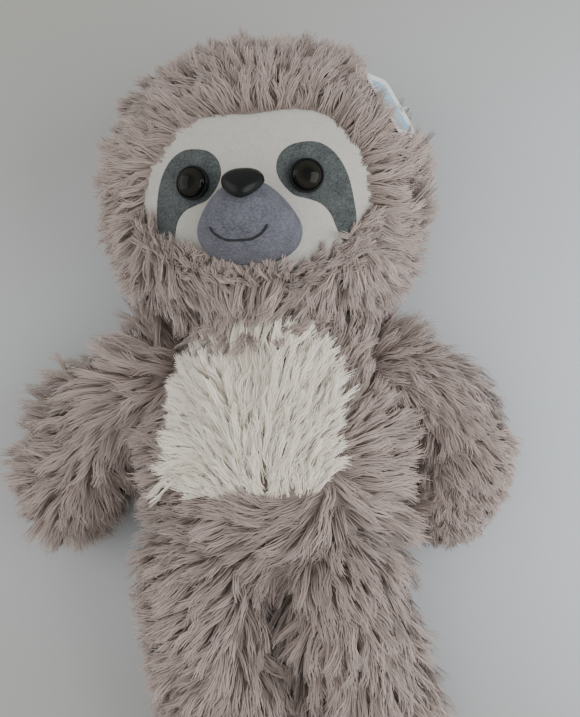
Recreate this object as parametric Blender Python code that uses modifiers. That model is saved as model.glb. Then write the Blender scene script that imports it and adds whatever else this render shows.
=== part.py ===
"""Plush sloth lying on its back, in metres.

The origin is the middle of the flat back of its body. +Y runs towards the head, +Z up through the belly and
+X to the viewer's right. Left and right are the viewer's, who looks down at the face.

Every part of the toy that moves turns about one point: the neck, a shoulder or a hip. What meets there is
rounded about that point, in layers like the skins of an onion, so that nothing catches when it turns.
"""

import math

import bmesh
import bpy
from mathutils import Matrix, Vector
from mathutils.bvhtree import BVHTree

# Clearances and cloth
SEAT_GAP = 0.0003
STUFFING_GAP = 0.0008
ROUND_GAP = 0.0006
FABRIC = 0.0015
CLOSING_FABRIC = 0.0008
FLOOR_CUT = 0.0005
CUT_OVERRUN = 0.02
MERGE_DISTANCE = 0.00001

# Fineness of the soft forms
FORM_SEGMENTS = 22
FORM_RINGS = 13
LIMB_SEGMENTS = 13
BALL_SEGMENTS = 20
NECK_SEGMENTS = 28
GUIDE_SEGMENTS = 96
GUIDE_RINGS = 64
SLOPE_REACH = 0.002
SQUARENESS = 2.25

# Body
BODY_HALF_WIDTH = 0.046
BODY_HALF_LENGTH = 0.054
BODY_HALF_DEPTH = 0.036

# Neck: the top of the body is part of a ball, and the head turns on it
NECK_PIVOT_INSET = 0.035
NECK_PIVOT_Y = BODY_HALF_LENGTH - NECK_PIVOT_INSET
NECK_PIVOT_Z = 0.038
NECK_RADIUS = 0.041
NECK_GAP = 0.0008
NECK_BALL_ANGLE = math.radians(42)
NECK_BLEND_ANGLE = math.radians(68)
NECK_OPENING_RADIUS = 0.0085
NECK_PATCH_RINGS = 1
NECK_THREAD_ANGLE = math.radians(33.5)
NECK_THREAD_RADIUS = 0.0005

# Head
HEAD_HALF_WIDTH = 0.0575
HEAD_HALF_LENGTH = 0.053
HEAD_HALF_DEPTH = 0.046
HEAD_FROM_NECK = 0.084
HEAD_CENTRE_Y = NECK_PIVOT_Y + HEAD_FROM_NECK
HEAD_ROLL = math.radians(2)

# Face: its middle is the point between the eyes, a little to the right because the head is turned
FACE_X = 0.0026
FACE_DROP_SHARE = 0.085
FACE_Y = HEAD_CENTRE_Y - HEAD_HALF_LENGTH * FACE_DROP_SHARE
FACE_HALF_WIDTH = 0.045
FACE_HALF_HEIGHT = 0.036
FACE_POINTS = 24
FACE_RINGS = 5
FACE_SHARES = [
    (0.0, 0.71), (0.29, 0.75), (0.56, 0.72), (0.76, 0.57), (0.91, 0.32), (1.0, 0.0),
    (0.98, -0.31), (0.87, -0.58), (0.6, -0.86), (0.29, -0.97), (0.0, -1.0),
]

# Dark patch round each eye, a bean that sweeps down and outwards
EYE_PATCH_THICKNESS = 0.0008
EYE_PATCH_LENGTH_SHARE = 0.68
EYE_PATCH_LENGTH = HEAD_HALF_LENGTH * EYE_PATCH_LENGTH_SHARE
EYE_PATCH_POINTS = 22
EYE_PATCH_RINGS = 3
EYE_PATCH_SHARES = [
    (0.56, 0.37), (0.4, 0.33), (0.3, 0.24), (0.26, 0.13), (0.27, 0.02), (0.33, -0.09), (0.43, -0.19),
    (0.56, -0.23), (0.69, -0.28), (0.78, -0.38), (0.83, -0.52), (0.88, -0.63), (0.98, -0.59), (1.03, -0.42),
    (1.02, -0.22), (0.99, -0.03), (0.93, 0.14), (0.83, 0.28), (0.7, 0.36),
]
EYE_PATCH_MIDDLE_SHARES = (0.78, -0.02)

# Eyes: a clear brown dome on a black back with a shank, held inside by a washer
EYE_SPREAD = 0.0205
EYE_RADIUS = 0.006
EYE_DOME_HEIGHT = 0.0036
EYE_RIM = 0.0004
EYE_BACK_THICKNESS = 0.0012
SHANK_RADIUS = 0.0016
EYE_SHANK_LENGTH = 0.0068
EYE_WASHER_RADIUS = 0.005
WASHER_THICKNESS = 0.001
TURNED_SEGMENTS = 16

# Muzzle
MUZZLE_HALF_WIDTH = 0.0195
MUZZLE_HALF_HEIGHT = 0.0155
MUZZLE_HEIGHT = 0.0155
MUZZLE_BELOW_EYES = 0.0165
MUZZLE_SHARES = [
    (0.0, 1.0), (0.36, 0.93), (0.7, 0.55), (0.94, 0.08), (1.0, -0.28), (0.86, -0.66),
    (0.5, -0.93), (0.0, -1.0),
]
MUZZLE_FABRIC = 0.0012
MUZZLE_FLATNESS = 2.15
MUZZLE_POINTS = 24
MUZZLE_RINGS = 5

# Nose
NOSE_BELOW_EYES = 0.0062
NOSE_HALF_WIDTH = 0.0079
NOSE_HALF_HEIGHT = 0.0056
NOSE_HEIGHT = 0.0042
NOSE_SHARES = [
    (0.0, 0.92), (0.5, 0.98), (0.88, 0.74), (0.98, 0.22), (0.62, -0.52), (0.0, -1.0),
]
NOSE_POINTS = 22
NOSE_RINGS = 4
NOSE_FLATNESS = 2.6
NOSE_SHANK_LENGTH = 0.0056
NOSE_WASHER_RADIUS = 0.0032
NOSE_WASHER_DROP = 0.0016

# Mouth: one line of black thread, its middle a little left of the nose
MOUTH_HALF_WIDTH = 0.0107
MOUTH_RISE = 0.0062
MOUTH_X = -0.0023
MOUTH_BELOW_EYES = 0.0247
MOUTH_THREAD_RADIUS = 0.0005
MOUTH_SHARES = [(-1.0, 1.0), (-0.78, 0.55), (-0.4, 0.14), (0.05, 0.0), (0.48, 0.14), (0.8, 0.47), (1.0, 0.8)]
MOUTH_SEGMENTS = 16

# Pale panel on the belly
BELLY_X = -0.0025
BELLY_INSET = 0.041
BELLY_Y = BODY_HALF_LENGTH - BELLY_INSET
BELLY_HALF_WIDTH = 0.033
BELLY_HALF_HEIGHT_SHARE = 0.61
BELLY_HALF_HEIGHT = BODY_HALF_LENGTH * BELLY_HALF_HEIGHT_SHARE
BELLY_POINTS = 24
BELLY_RINGS = 5
BELLY_SHARES = [
    (0.0, 1.0), (0.45, 0.99), (0.74, 0.86), (0.91, 0.55), (0.98, 0.1), (0.97, -0.45), (0.84, -0.83),
    (0.45, -0.99), (0.0, -1.02),
]

# Shoulders and arms
SHOULDER_X = 0.045
SHOULDER_INSET = 0.025
SHOULDER_Y = BODY_HALF_LENGTH - SHOULDER_INSET
SHOULDER_Z = 0.033
ARM_BALL_RADIUS = 0.0165
ARM_WAIST_RADIUS = 0.0152
ARM_WAIST_ALONG = 0.02
ARM_PAW_RADIUS = 0.019
ARM_PAW_ALONG = 0.062
LEFT_ARM_YAW = math.radians(58)
LEFT_ARM_END_YAW = math.radians(40)
RIGHT_ARM_YAW = math.radians(66)
RIGHT_ARM_END_YAW = math.radians(-30)

# Hips and legs
HIP_LEFT_X = 0.0265
HIP_RIGHT_X = 0.0275
HIP_INSET = 0.007
HIP_Y = HIP_INSET - BODY_HALF_LENGTH
HIP_Z = 0.045
LEG_BALL_RADIUS = 0.0205
LEG_WAIST_RADIUS = 0.0202
LEG_WAIST_ALONG = 0.024
LEG_PAW_RADIUS = 0.0245
LEG_PAW_ALONG = 0.07
LEFT_LEG_YAW = math.radians(-7)
RIGHT_LEG_YAW = math.radians(9)

# The limb leaves its ball at this angle from its own axis, and is sewn shut inside this one at the root
BALL_END_ANGLE = math.radians(64)
SOCK_OPENING_ANGLE = math.radians(34)
ROOT_PATCH_RINGS = 2

# Seam that closes the stuffed body, low on its back
CLOSING_START_SHARE = 0.52
CLOSING_LENGTH_SHARE = 0.42
CLOSING_STITCHES = 8
CLOSING_HALF_WIDTH = 0.0022
CLOSING_THREAD_RADIUS = 0.0004

# Hang tag: a card on a thin plastic ring, whose stem goes into the right side of the head
TAG_LENGTH = 0.028
TAG_HEIGHT = 0.026
TAG_THICKNESS = 0.0006
TAG_CORNER = 0.003
TAG_CORNER_STEPS = 3
TAG_HOLE_RADIUS = 0.0015
TAG_HOLE_SEGMENTS = 12
TAG_HOLE_INSET = 0.004
TAG_LEAN = math.radians(16)
TAG_ROOT_ANGLE = math.radians(27)
TAG_ROOT_Z = 0.046
RING_RADIUS = 0.004
RING_WIRE_RADIUS = 0.0004
RING_STEM = 0.0012
RING_SEGMENTS = 16
BARB_RADIUS = 0.0005
BARB_HALF_LENGTH = 0.003

Y_AXIS = Vector((0.0, 1.0, 0.0))
Z_AXIS = Vector((0.0, 0.0, 1.0))
NECK_PIVOT = Vector((0.0, NECK_PIVOT_Y, NECK_PIVOT_Z))


# Scene, collections and materials

def clear_scene():
    for item in list(bpy.data.objects):
        bpy.data.objects.remove(item, do_unlink=True)


def new_collection(name):
    group = bpy.data.collections.new(name)
    bpy.context.scene.collection.children.link(group)
    return group


def new_material(name, colour, roughness, metallic=0.0):
    finish = bpy.data.materials.new(name)
    finish.use_nodes = True
    shader = finish.node_tree.nodes["Principled BSDF"]
    shader.inputs["Base Color"].default_value = (*colour, 1.0)
    shader.inputs["Roughness"].default_value = roughness
    shader.inputs["Metallic"].default_value = metallic
    return finish


clear_scene()
SLOTH = new_collection("plush_sloth")
CUTTERS = new_collection("cutters")

FUR = new_material("taupe_pile", (0.26, 0.21, 0.185), 0.95)
CREAM_FUR = new_material("cream_pile", (0.62, 0.56, 0.48), 0.95)
FACE_PLUSH = new_material("cream_short_pile", (0.55, 0.53, 0.48), 0.9)
DARK_PLUSH = new_material("dark_grey_short_pile", (0.1, 0.115, 0.12), 0.9)
MUZZLE_PLUSH = new_material("lavender_grey_short_pile", (0.15, 0.15, 0.19), 0.9)
STUFFING = new_material("white_fibre", (0.8, 0.8, 0.78), 1.0)
LINING = new_material("taupe_backing", (0.3, 0.26, 0.23), 0.95)
THREAD = new_material("black_thread", (0.01, 0.01, 0.012), 0.6)
SEWING_THREAD = new_material("taupe_thread", (0.2, 0.17, 0.15), 0.7)
EYE_BROWN = new_material("clear_brown_plastic", (0.05, 0.035, 0.015), 0.12)
BLACK_PLASTIC = new_material("black_plastic", (0.01, 0.011, 0.012), 0.35)
WASHER_PLASTIC = new_material("white_washer_plastic", (0.7, 0.7, 0.68), 0.5)
CARD = new_material("white_card", (0.75, 0.78, 0.8), 0.6)
NYLON = new_material("clear_nylon", (0.75, 0.75, 0.75), 0.35)


def new_pivot(name, place, parent=None, turn=None):
    pivot = bpy.data.objects.new(name, None)
    SLOTH.objects.link(pivot)
    pivot.empty_display_size = SHANK_RADIUS
    pivot.parent = parent
    pivot.matrix_basis = Matrix.Translation(place) @ (turn if turn else Matrix())
    return pivot


def add_object(name, shape, finish, pivot=None, group=None, about_pivot=False):
    """Make an object of a bmesh. With about_pivot its shape is written around its pivot's own origin."""
    mesh = bpy.data.meshes.new(name)
    shape.to_mesh(mesh)
    shape.free()
    return add_mesh(name, mesh, finish, pivot, group, about_pivot)


def add_mesh(name, mesh, finish, pivot=None, group=None, about_pivot=False):
    mesh.shade_smooth()
    mesh.materials.clear()
    if finish:
        mesh.materials.append(finish)
    item = bpy.data.objects.new(name, mesh)
    (group or SLOTH).objects.link(item)
    if pivot:
        item.parent = pivot
        if not about_pivot:
            item.matrix_parent_inverse = Matrix.Translation(-pivot.matrix_basis.translation)
    return item


def add_cutter(name, shape, pivot=None, about_pivot=False):
    cutter = add_object(name, shape, None, pivot, CUTTERS, about_pivot)
    return hide_cutter(cutter)


def hide_cutter(cutter):
    cutter.hide_render = True
    cutter.display_type = "WIRE"
    return cutter


def cut(item, cutter, operation="DIFFERENCE"):
    change = item.modifiers.new(cutter.name, "BOOLEAN")
    change.operation = operation
    change.solver = "EXACT"
    change.object = cutter


def thicken(item, thickness):
    shell = item.modifiers.new("cloth", "SOLIDIFY")
    shell.thickness = thickness
    shell.offset = -1.0


def smooth_step(low, high, value):
    share = min(max((value - low) / (high - low), 0.0), 1.0)
    return share * share * (3.0 - 2.0 * share)


# Closed, squarish egg shapes, and guides that give their height above a point of the plan

def rounded_point(direction, half_width, half_length, half_depth):
    size = (abs(direction.x) ** SQUARENESS + abs(direction.y) ** SQUARENESS
            + abs(direction.z) ** SQUARENESS) ** (1.0 / SQUARENESS)
    return Vector((direction.x * half_width, direction.y * half_length, direction.z * half_depth)) / size


def body_point(direction, inset):
    """A point of the body's skin, or of a skin that lies inset below it. The top follows the neck's ball."""
    point = rounded_point(direction, BODY_HALF_WIDTH - inset, BODY_HALF_LENGTH - inset, BODY_HALF_DEPTH - inset)
    point.z += BODY_HALF_DEPTH - FLOOR_CUT
    from_neck = point - NECK_PIVOT
    follow = 1.0 - smooth_step(NECK_BALL_ANGLE, NECK_BLEND_ANGLE, from_neck.angle(Y_AXIS))
    ball_point = from_neck.normalized() * (NECK_RADIUS - inset)
    return NECK_PIVOT + from_neck.lerp(ball_point, follow)


def head_point(direction, inset):
    point = rounded_point(direction, HEAD_HALF_WIDTH - inset, HEAD_HALF_LENGTH - inset, HEAD_HALF_DEPTH - inset)
    return point + Vector((0.0, HEAD_CENTRE_Y, HEAD_HALF_DEPTH - FLOOR_CUT))


def egg_shape(point_of, inset, segments=FORM_SEGMENTS, rings=FORM_RINGS):
    shape = bmesh.new()
    bmesh.ops.create_uvsphere(shape, u_segments=segments, v_segments=rings, radius=1.0,
                              matrix=Matrix.Rotation(math.radians(-90), 4, "X"))
    for vertex in shape.verts:
        vertex.co = point_of(vertex.co.normalized(), inset)
    return shape


class Guide:
    """The height of a skin over a point of the plan, read from a fine copy of it."""

    def __init__(self, shape):
        self.tree = BVHTree.FromBMesh(shape)
        shape.free()

    def height(self, x, y):
        hit = self.tree.ray_cast(Vector((x, y, HEAD_HALF_DEPTH * 4)), -Z_AXIS)
        return hit[0].z

    def normal(self, x, y):
        along_x = self.height(x + SLOPE_REACH, y) - self.height(x - SLOPE_REACH, y)
        along_y = self.height(x, y + SLOPE_REACH) - self.height(x, y - SLOPE_REACH)
        return Vector((-along_x, -along_y, SLOPE_REACH * 2)).normalized()


BODY_GUIDE = Guide(egg_shape(body_point, 0.0, GUIDE_SEGMENTS, GUIDE_RINGS))
HEAD_GUIDE = Guide(egg_shape(head_point, 0.0, GUIDE_SEGMENTS, GUIDE_RINGS))


def on_body(plan, share):
    return BODY_GUIDE.height(plan.x, plan.y)


def on_head(plan, share):
    return HEAD_GUIDE.height(plan.x, plan.y)


# Flat outlines, as smooth closed curves through points given as shares of a size

def curve_point(before, start, end, after, share):
    """A point between start and end on the smooth curve through four points."""
    doubled = (start * 2.0 + (end - before) * share
               + (before * 2.0 - start * 5.0 + end * 4.0 - after) * share ** 2
               + (start * 3.0 - before - end * 3.0 + after) * share ** 3)
    return doubled * 0.5


def smooth_outline(corners, count):
    """Points at even steps along the smooth closed curve through the corners."""
    points = []
    for step in range(count):
        place = step * len(corners) / count
        first = int(place)
        near = [corners[(first + offset) % len(corners)] for offset in (-1, 0, 1, 2)]
        points.append(curve_point(*near, place - first))
    return points


def mirrored_outline(shares, centre, half_width, half_height, count):
    """An outline whose left side mirrors its right. The shares run from the top middle down the right side."""
    right = [Vector((x * half_width, y * half_height)) for x, y in shares]
    left = [Vector((-point.x, point.y)) for point in reversed(right[1:-1])]
    loop = [centre + point for point in right + left]
    loop.reverse()
    return smooth_outline(loop, count)


def grown(outline, centre, gap):
    return [point + (point - centre).normalized() * gap for point in outline]


def disc_shape(outline, centre, rings, height):
    """An open, domed disc inside the outline. The height is that of a point of the plan, at its share outwards."""
    count = len(outline)
    shape = bmesh.new()
    bmesh.ops.create_uvsphere(shape, u_segments=count, v_segments=rings * 2, radius=1.0)
    lower = [vertex for vertex in shape.verts if vertex.co.z < -MERGE_DISTANCE]
    bmesh.ops.delete(shape, geom=lower, context="VERTS")
    for vertex in shape.verts:
        share = math.acos(min(vertex.co.z, 1.0)) / math.radians(90)
        step = round(math.atan2(vertex.co.y, vertex.co.x) / math.tau * count) % count
        plan = centre + (outline[step] - centre) * share
        vertex.co = Vector((plan.x, plan.y, height(plan, share)))
    return shape


def closed_dome(outline, centre, rings, top, bottom):
    """A closed dome on a base, from one sphere: its upper half is the dome and its lower half the base."""
    count = len(outline)
    shape = bmesh.new()
    bmesh.ops.create_uvsphere(shape, u_segments=count, v_segments=rings * 2, radius=1.0)
    for vertex in shape.verts:
        share = 1.0 - abs(math.asin(max(min(vertex.co.z, 1.0), -1.0))) / math.radians(90)
        step = round(math.atan2(vertex.co.y, vertex.co.x) / math.tau * count) % count
        plan = centre + (outline[step] - centre) * share
        height = top if vertex.co.z > MERGE_DISTANCE else bottom
        vertex.co = Vector((plan.x, plan.y, height(plan, share)))
    return shape


def outline_cutter(name, outline, low, high, pivot=None):
    """A straight cutter of the outline, from the low height to the high one."""
    flat = bpy.data.curves.new(name, "CURVE")
    flat.dimensions = "2D"
    flat.fill_mode = "BOTH"
    flat.extrude = (high - low) / 2
    line = flat.splines.new("POLY")
    line.points.add(len(outline) - 1)
    line.use_cyclic_u = True
    for point, corner in zip(line.points, outline):
        point.co = (corner.x, corner.y, 0.0, 1.0)
    mesh = mesh_of_curve(flat)
    mesh.transform(Matrix.Translation(Z_AXIS * (high + low) / 2))
    return hide_cutter(add_mesh(name, mesh, None, pivot, CUTTERS))


def mesh_of_curve(curve):
    """The welded mesh of a curve."""
    drawn = bpy.data.objects.new(curve.name, curve)
    bpy.context.scene.collection.objects.link(drawn)
    evaluated = drawn.evaluated_get(bpy.context.evaluated_depsgraph_get())
    mesh = bpy.data.meshes.new_from_object(evaluated)
    bpy.data.objects.remove(drawn, do_unlink=True)
    shape = bmesh.new()
    shape.from_mesh(mesh)
    bmesh.ops.remove_doubles(shape, verts=shape.verts, dist=MERGE_DISTANCE)
    bmesh.ops.recalc_face_normals(shape, faces=shape.faces)
    shape.to_mesh(mesh)
    shape.free()
    return mesh


def thread_curve(name, points, radius, finish, pivot=None, closed=False, sides=2, about_pivot=False):
    """A thread, loop or wire along the points."""
    line = bpy.data.curves.new(name, "CURVE")
    line.dimensions = "3D"
    line.bevel_depth = radius
    line.bevel_resolution = sides
    line.use_fill_caps = not closed
    route = line.splines.new("POLY")
    route.points.add(len(points) - 1)
    route.use_cyclic_u = closed
    for point, place in zip(route.points, points):
        point.co = (*place, 1.0)
    line.materials.append(finish)
    item = bpy.data.objects.new(name, line)
    SLOTH.objects.link(item)
    if pivot:
        item.parent = pivot
        if not about_pivot:
            item.matrix_parent_inverse = Matrix.Translation(-pivot.matrix_basis.translation)
    return item


# Turned pieces and round cutters

def turned(name, profile, finish, pivot):
    """A piece turned about its pivot's Z axis. The profile runs down its outer side."""
    mesh = bpy.data.meshes.new(name)
    points = [(radius, 0.0, height) for radius, height in profile]
    closed = profile[0][0] > 0.0
    edges = [(index, index + 1) for index in range(len(points) - 1)]
    if closed:
        edges.append((len(points) - 1, 0))
    mesh.from_pydata(points, edges, [])
    item = add_mesh(name, mesh, finish, pivot, None, True)
    turn = item.modifiers.new("turn", "SCREW")
    turn.steps = TURNED_SEGMENTS
    turn.render_steps = TURNED_SEGMENTS
    turn.use_merge_vertices = True
    turn.merge_threshold = MERGE_DISTANCE
    turn.use_smooth_shade = True
    return item


def ball_shape(centre, radius, axis, segments=BALL_SEGMENTS):
    """A ball whose poles lie along the axis."""
    shape = bmesh.new()
    turn = Z_AXIS.rotation_difference(axis).to_matrix().to_4x4()
    bmesh.ops.create_uvsphere(shape, u_segments=segments, v_segments=segments // 2, radius=radius,
                              matrix=Matrix.Translation(centre) @ turn)
    return shape


def rod_shape(radius, low, high, place=None):
    """A round rod along Z from the low height to the high one, or the same in another place."""
    shape = bmesh.new()
    middle = Matrix.Translation(Z_AXIS * (low + high) / 2)
    bmesh.ops.create_cone(shape, cap_ends=True, segments=TURNED_SEGMENTS, radius1=radius, radius2=radius,
                          depth=high - low, matrix=(place or Matrix()) @ middle)
    return shape


def round_patch(name, radius, rings, axis, pivot, segments=BALL_SEGMENTS):
    """A round of cloth that follows a ball: the rings of it that lie nearest to the axis, thickened inwards."""
    shape = ball_shape(Vector(), radius + CLOSING_FABRIC, axis, segments)
    edge_angle = math.tau / segments * (rings + 0.5)
    far = [vertex for vertex in shape.verts if vertex.co.angle(axis) > edge_angle]
    bmesh.ops.delete(shape, geom=far, context="VERTS")
    item = add_object(name, shape, LINING, pivot, None, True)
    thicken(item, CLOSING_FABRIC)


def floor_cutter():
    shape = bmesh.new()
    size = (BODY_HALF_LENGTH + HEAD_CENTRE_Y) * 4
    bmesh.ops.create_cube(shape, size=size, matrix=Matrix.Translation(-Z_AXIS * size / 2))
    return add_cutter("floor_cutter", shape)


FLOOR = floor_cutter()


# Neck layers: the body's ball, two rounds of closing cloth, and the hollow of the head

NECK_LOWER_RADIUS = NECK_RADIUS + NECK_GAP
NECK_UPPER_RADIUS = NECK_LOWER_RADIUS + CLOSING_FABRIC + NECK_GAP
HEAD_HOLLOW_RADIUS = NECK_UPPER_RADIUS + CLOSING_FABRIC + NECK_GAP

NECK_NOD = new_pivot("neck_nod_pivot", NECK_PIVOT)
NECK_TILT = new_pivot("neck_tilt_pivot", NECK_PIVOT)
HEAD = new_pivot("head_pivot", NECK_PIVOT, turn=Matrix.Rotation(HEAD_ROLL, 4, "Z"))


def make_neck():
    round_patch("neck_patch_lower", NECK_LOWER_RADIUS, NECK_PATCH_RINGS, Y_AXIS, NECK_NOD, NECK_SEGMENTS)
    round_patch("neck_patch_upper", NECK_UPPER_RADIUS, NECK_PATCH_RINGS, Y_AXIS, NECK_TILT, NECK_SEGMENTS)
    ring_radius = NECK_UPPER_RADIUS * math.sin(NECK_THREAD_ANGLE)
    ring_along = NECK_UPPER_RADIUS * math.cos(NECK_THREAD_ANGLE)
    ring = []
    for step in range(NECK_SEGMENTS):
        angle = math.tau * step / NECK_SEGMENTS
        ring.append(Vector((ring_radius * math.cos(angle), ring_along, ring_radius * math.sin(angle))))
    thread_curve("neck_thread", ring, NECK_THREAD_RADIUS, SEWING_THREAD, HEAD, True, 1, True)


# Limbs: a sock with a ball at its root, a waist and a fuller paw, bent to lie on the floor

class Limb:
    def __init__(self, name, side, place, ball, waist, waist_along, paw, paw_along, yaw, end_yaw):
        self.name = name
        self.side = side
        self.place = place
        self.ball = ball
        self.waist = waist
        self.waist_along = waist_along
        self.paw = paw
        self.paw_along = paw_along
        self.yaw = yaw
        self.end_yaw = end_yaw
        self.drop = place.z + FLOOR_CUT - paw
        self.bend_start = ball * math.cos(BALL_END_ANGLE)

    def profile(self, root_angle):
        """Pairs of distance along and radius, from near the root's pole round to the paw's end."""
        points = []
        root_steps = 5
        for step in range(root_steps + 1):
            angle = math.pi - root_angle - (math.pi - root_angle - BALL_END_ANGLE) * step / root_steps
            points.append(Vector((self.ball * math.cos(angle), self.ball * math.sin(angle))))
        points.append(Vector((self.waist_along, self.waist)))
        swell_steps = 3
        for step in range(1, swell_steps + 1):
            share = step / swell_steps
            along = self.waist_along + (self.paw_along - self.waist_along) * share
            points.append(Vector((along, self.waist + (self.paw - self.waist) * smooth_step(0.0, 1.0, share))))
        end_steps = 4
        for step in range(1, end_steps + 1):
            angle = math.radians(90) * (1.0 - step / end_steps)
            points.append(Vector((self.paw_along + self.paw * math.cos(angle), self.paw * math.sin(angle))))
        return points

    def bent(self, point):
        """The place of a point of the straight limb, whose axis is +Z, once the limb is bent."""
        along = point.z
        steps = 12
        place = Vector((0.0, 0.0, 0.0))
        bend_length = self.paw_along - self.bend_start
        beyond = max(along - self.bend_start, 0.0)
        heading = self.yaw
        for step in range(steps):
            share = min((step + 0.5) / steps * beyond / bend_length, 1.0)
            heading = self.yaw + (self.end_yaw - self.yaw) * smooth_step(0.0, 1.0, share)
            place += Vector((self.side * math.sin(heading), -math.cos(heading), 0.0)) * beyond / steps
        share = min(beyond / bend_length, 1.0)
        heading = self.yaw + (self.end_yaw - self.yaw) * smooth_step(0.0, 1.0, share)
        root = Vector((self.side * math.sin(self.yaw), -math.cos(self.yaw), 0.0))
        place += root * min(along, self.bend_start)
        place.z -= self.drop * smooth_step(0.0, 1.0, share)
        across = Vector((math.cos(heading), self.side * math.sin(heading), 0.0))
        return place + across * point.x + Z_AXIS * point.y

    def shape(self, inset, root_angle):
        """The limb's skin, or one that lies inset below it, open at the root if root_angle isn't zero."""
        points = self.profile(root_angle)
        last = len(points) - 1
        inner = []
        for index, point in enumerate(points):
            run = points[min(index + 1, last)] - points[max(index - 1, 0)]
            normal = Vector((-run.y, run.x)).normalized()
            if index == last:
                normal = Vector((1.0, 0.0))
            if index == 0:
                normal = point.normalized()
            if points[index].length <= self.ball + MERGE_DISTANCE:
                normal = point.normalized()
            inner.append(point - normal * inset)
        shape = bmesh.new()
        ring = [shape.verts.new((max(point.y, 0.0), 0.0, point.x)) for point in reversed(inner)]
        edges = [shape.edges.new(pair) for pair in zip(ring, ring[1:])]
        bmesh.ops.spin(shape, geom=ring + edges, cent=(0.0, 0.0, 0.0), axis=(0.0, 0.0, 1.0), angle=math.tau,
                       steps=LIMB_SEGMENTS, use_merge=True)
        bmesh.ops.remove_doubles(shape, verts=shape.verts, dist=MERGE_DISTANCE)
        for vertex in shape.verts:
            vertex.co = self.bent(vertex.co)
        return shape


LIMBS = [
    Limb("arm_left", -1.0, Vector((-SHOULDER_X, SHOULDER_Y, SHOULDER_Z)), ARM_BALL_RADIUS, ARM_WAIST_RADIUS,
         ARM_WAIST_ALONG, ARM_PAW_RADIUS, ARM_PAW_ALONG, LEFT_ARM_YAW, LEFT_ARM_END_YAW),
    Limb("arm_right", 1.0, Vector((SHOULDER_X, SHOULDER_Y, SHOULDER_Z)), ARM_BALL_RADIUS, ARM_WAIST_RADIUS,
         ARM_WAIST_ALONG, ARM_PAW_RADIUS, ARM_PAW_ALONG, RIGHT_ARM_YAW, RIGHT_ARM_END_YAW),
    Limb("leg_left", -1.0, Vector((-HIP_LEFT_X, HIP_Y, HIP_Z)), LEG_BALL_RADIUS, LEG_WAIST_RADIUS,
         LEG_WAIST_ALONG, LEG_PAW_RADIUS, LEG_PAW_ALONG, LEFT_LEG_YAW, LEFT_LEG_YAW),
    Limb("leg_right", 1.0, Vector((HIP_RIGHT_X, HIP_Y, HIP_Z)), LEG_BALL_RADIUS, LEG_WAIST_RADIUS,
         LEG_WAIST_ALONG, LEG_PAW_RADIUS, LEG_PAW_ALONG, RIGHT_LEG_YAW, RIGHT_LEG_YAW),
]


def make_limb(limb):
    """A limb's cover and stuffing, the cloth that closes its root, and the hollow that it turns in."""
    pivot = new_pivot(limb.name + "_pivot", limb.place)
    cover = add_object(limb.name + "_cover", limb.shape(0.0, SOCK_OPENING_ANGLE), FUR, pivot, None, True)
    thicken(cover, FABRIC)
    cut(cover, FLOOR)
    add_object(limb.name + "_stuffing", limb.shape(FABRIC + STUFFING_GAP, 0.0), STUFFING, pivot, None, True)
    towards_body = Vector((-limb.side * math.sin(limb.yaw), math.cos(limb.yaw), 0.0))
    patch_name = limb.name.replace("arm", "shoulder").replace("leg", "hip") + "_patch"
    root = new_pivot(patch_name + "_pivot", limb.place)
    round_patch(patch_name, limb.ball + ROUND_GAP, ROOT_PATCH_RINGS, towards_body, root)
    hollow = limb.ball + CLOSING_FABRIC + ROUND_GAP * 2
    return add_cutter(limb.name + "_hollow", ball_shape(limb.place, hollow, towards_body))


# Body

def make_body(hollows):
    cover = add_object("body_cover", egg_shape(body_point, 0.0), FUR)
    thicken(cover, FABRIC)
    stuffing = add_object("body_stuffing", egg_shape(body_point, FABRIC + STUFFING_GAP), STUFFING)
    for hollow in hollows:
        cut(cover, hollow)
        cut(stuffing, hollow)
    centre = Vector((BELLY_X, BELLY_Y))
    outline = mirrored_outline(BELLY_SHARES, centre, BELLY_HALF_WIDTH, BELLY_HALF_HEIGHT, BELLY_POINTS)
    panel = add_object("belly_panel", disc_shape(outline, centre, BELLY_RINGS, on_body), CREAM_FUR)
    thicken(panel, FABRIC)
    hole = grown(outline, centre, SEAT_GAP)
    cut(cover, outline_cutter("belly_hole", hole, BODY_HALF_DEPTH, BODY_HALF_DEPTH * 2 + CUT_OVERRUN))
    mouth = rod_shape(NECK_OPENING_RADIUS, NECK_RADIUS * math.cos(NECK_BALL_ANGLE), NECK_RADIUS + CUT_OVERRUN,
                      Matrix.Translation(NECK_PIVOT) @ Matrix.Rotation(math.radians(-90), 4, "X"))
    cut(cover, add_cutter("neck_opening", mouth))
    cut(cover, FLOOR)


def make_closing_seam():
    """A zigzag of thread that draws the closing seam together."""
    underside = Guide(mirror_upside_down(egg_shape(body_point, -CLOSING_THREAD_RADIUS - SEAT_GAP)))
    points = []
    step_along = BODY_HALF_LENGTH * CLOSING_LENGTH_SHARE / (CLOSING_STITCHES * 2)
    for stitch in range(CLOSING_STITCHES * 2):
        y = -BODY_HALF_LENGTH * CLOSING_START_SHARE - step_along * stitch
        x = CLOSING_HALF_WIDTH * (1 if stitch % 2 else -1)
        points.append(Vector((x, y, -underside.height(x, y))))
    thread_curve("closing_stitches", points, CLOSING_THREAD_RADIUS, SEWING_THREAD)


def mirror_upside_down(shape):
    for vertex in shape.verts:
        vertex.co.z = -vertex.co.z
    bmesh.ops.reverse_faces(shape, faces=shape.faces)
    return shape


# Head, face and what is fixed through them

FACE_CENTRE = Vector((FACE_X, FACE_Y))


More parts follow.
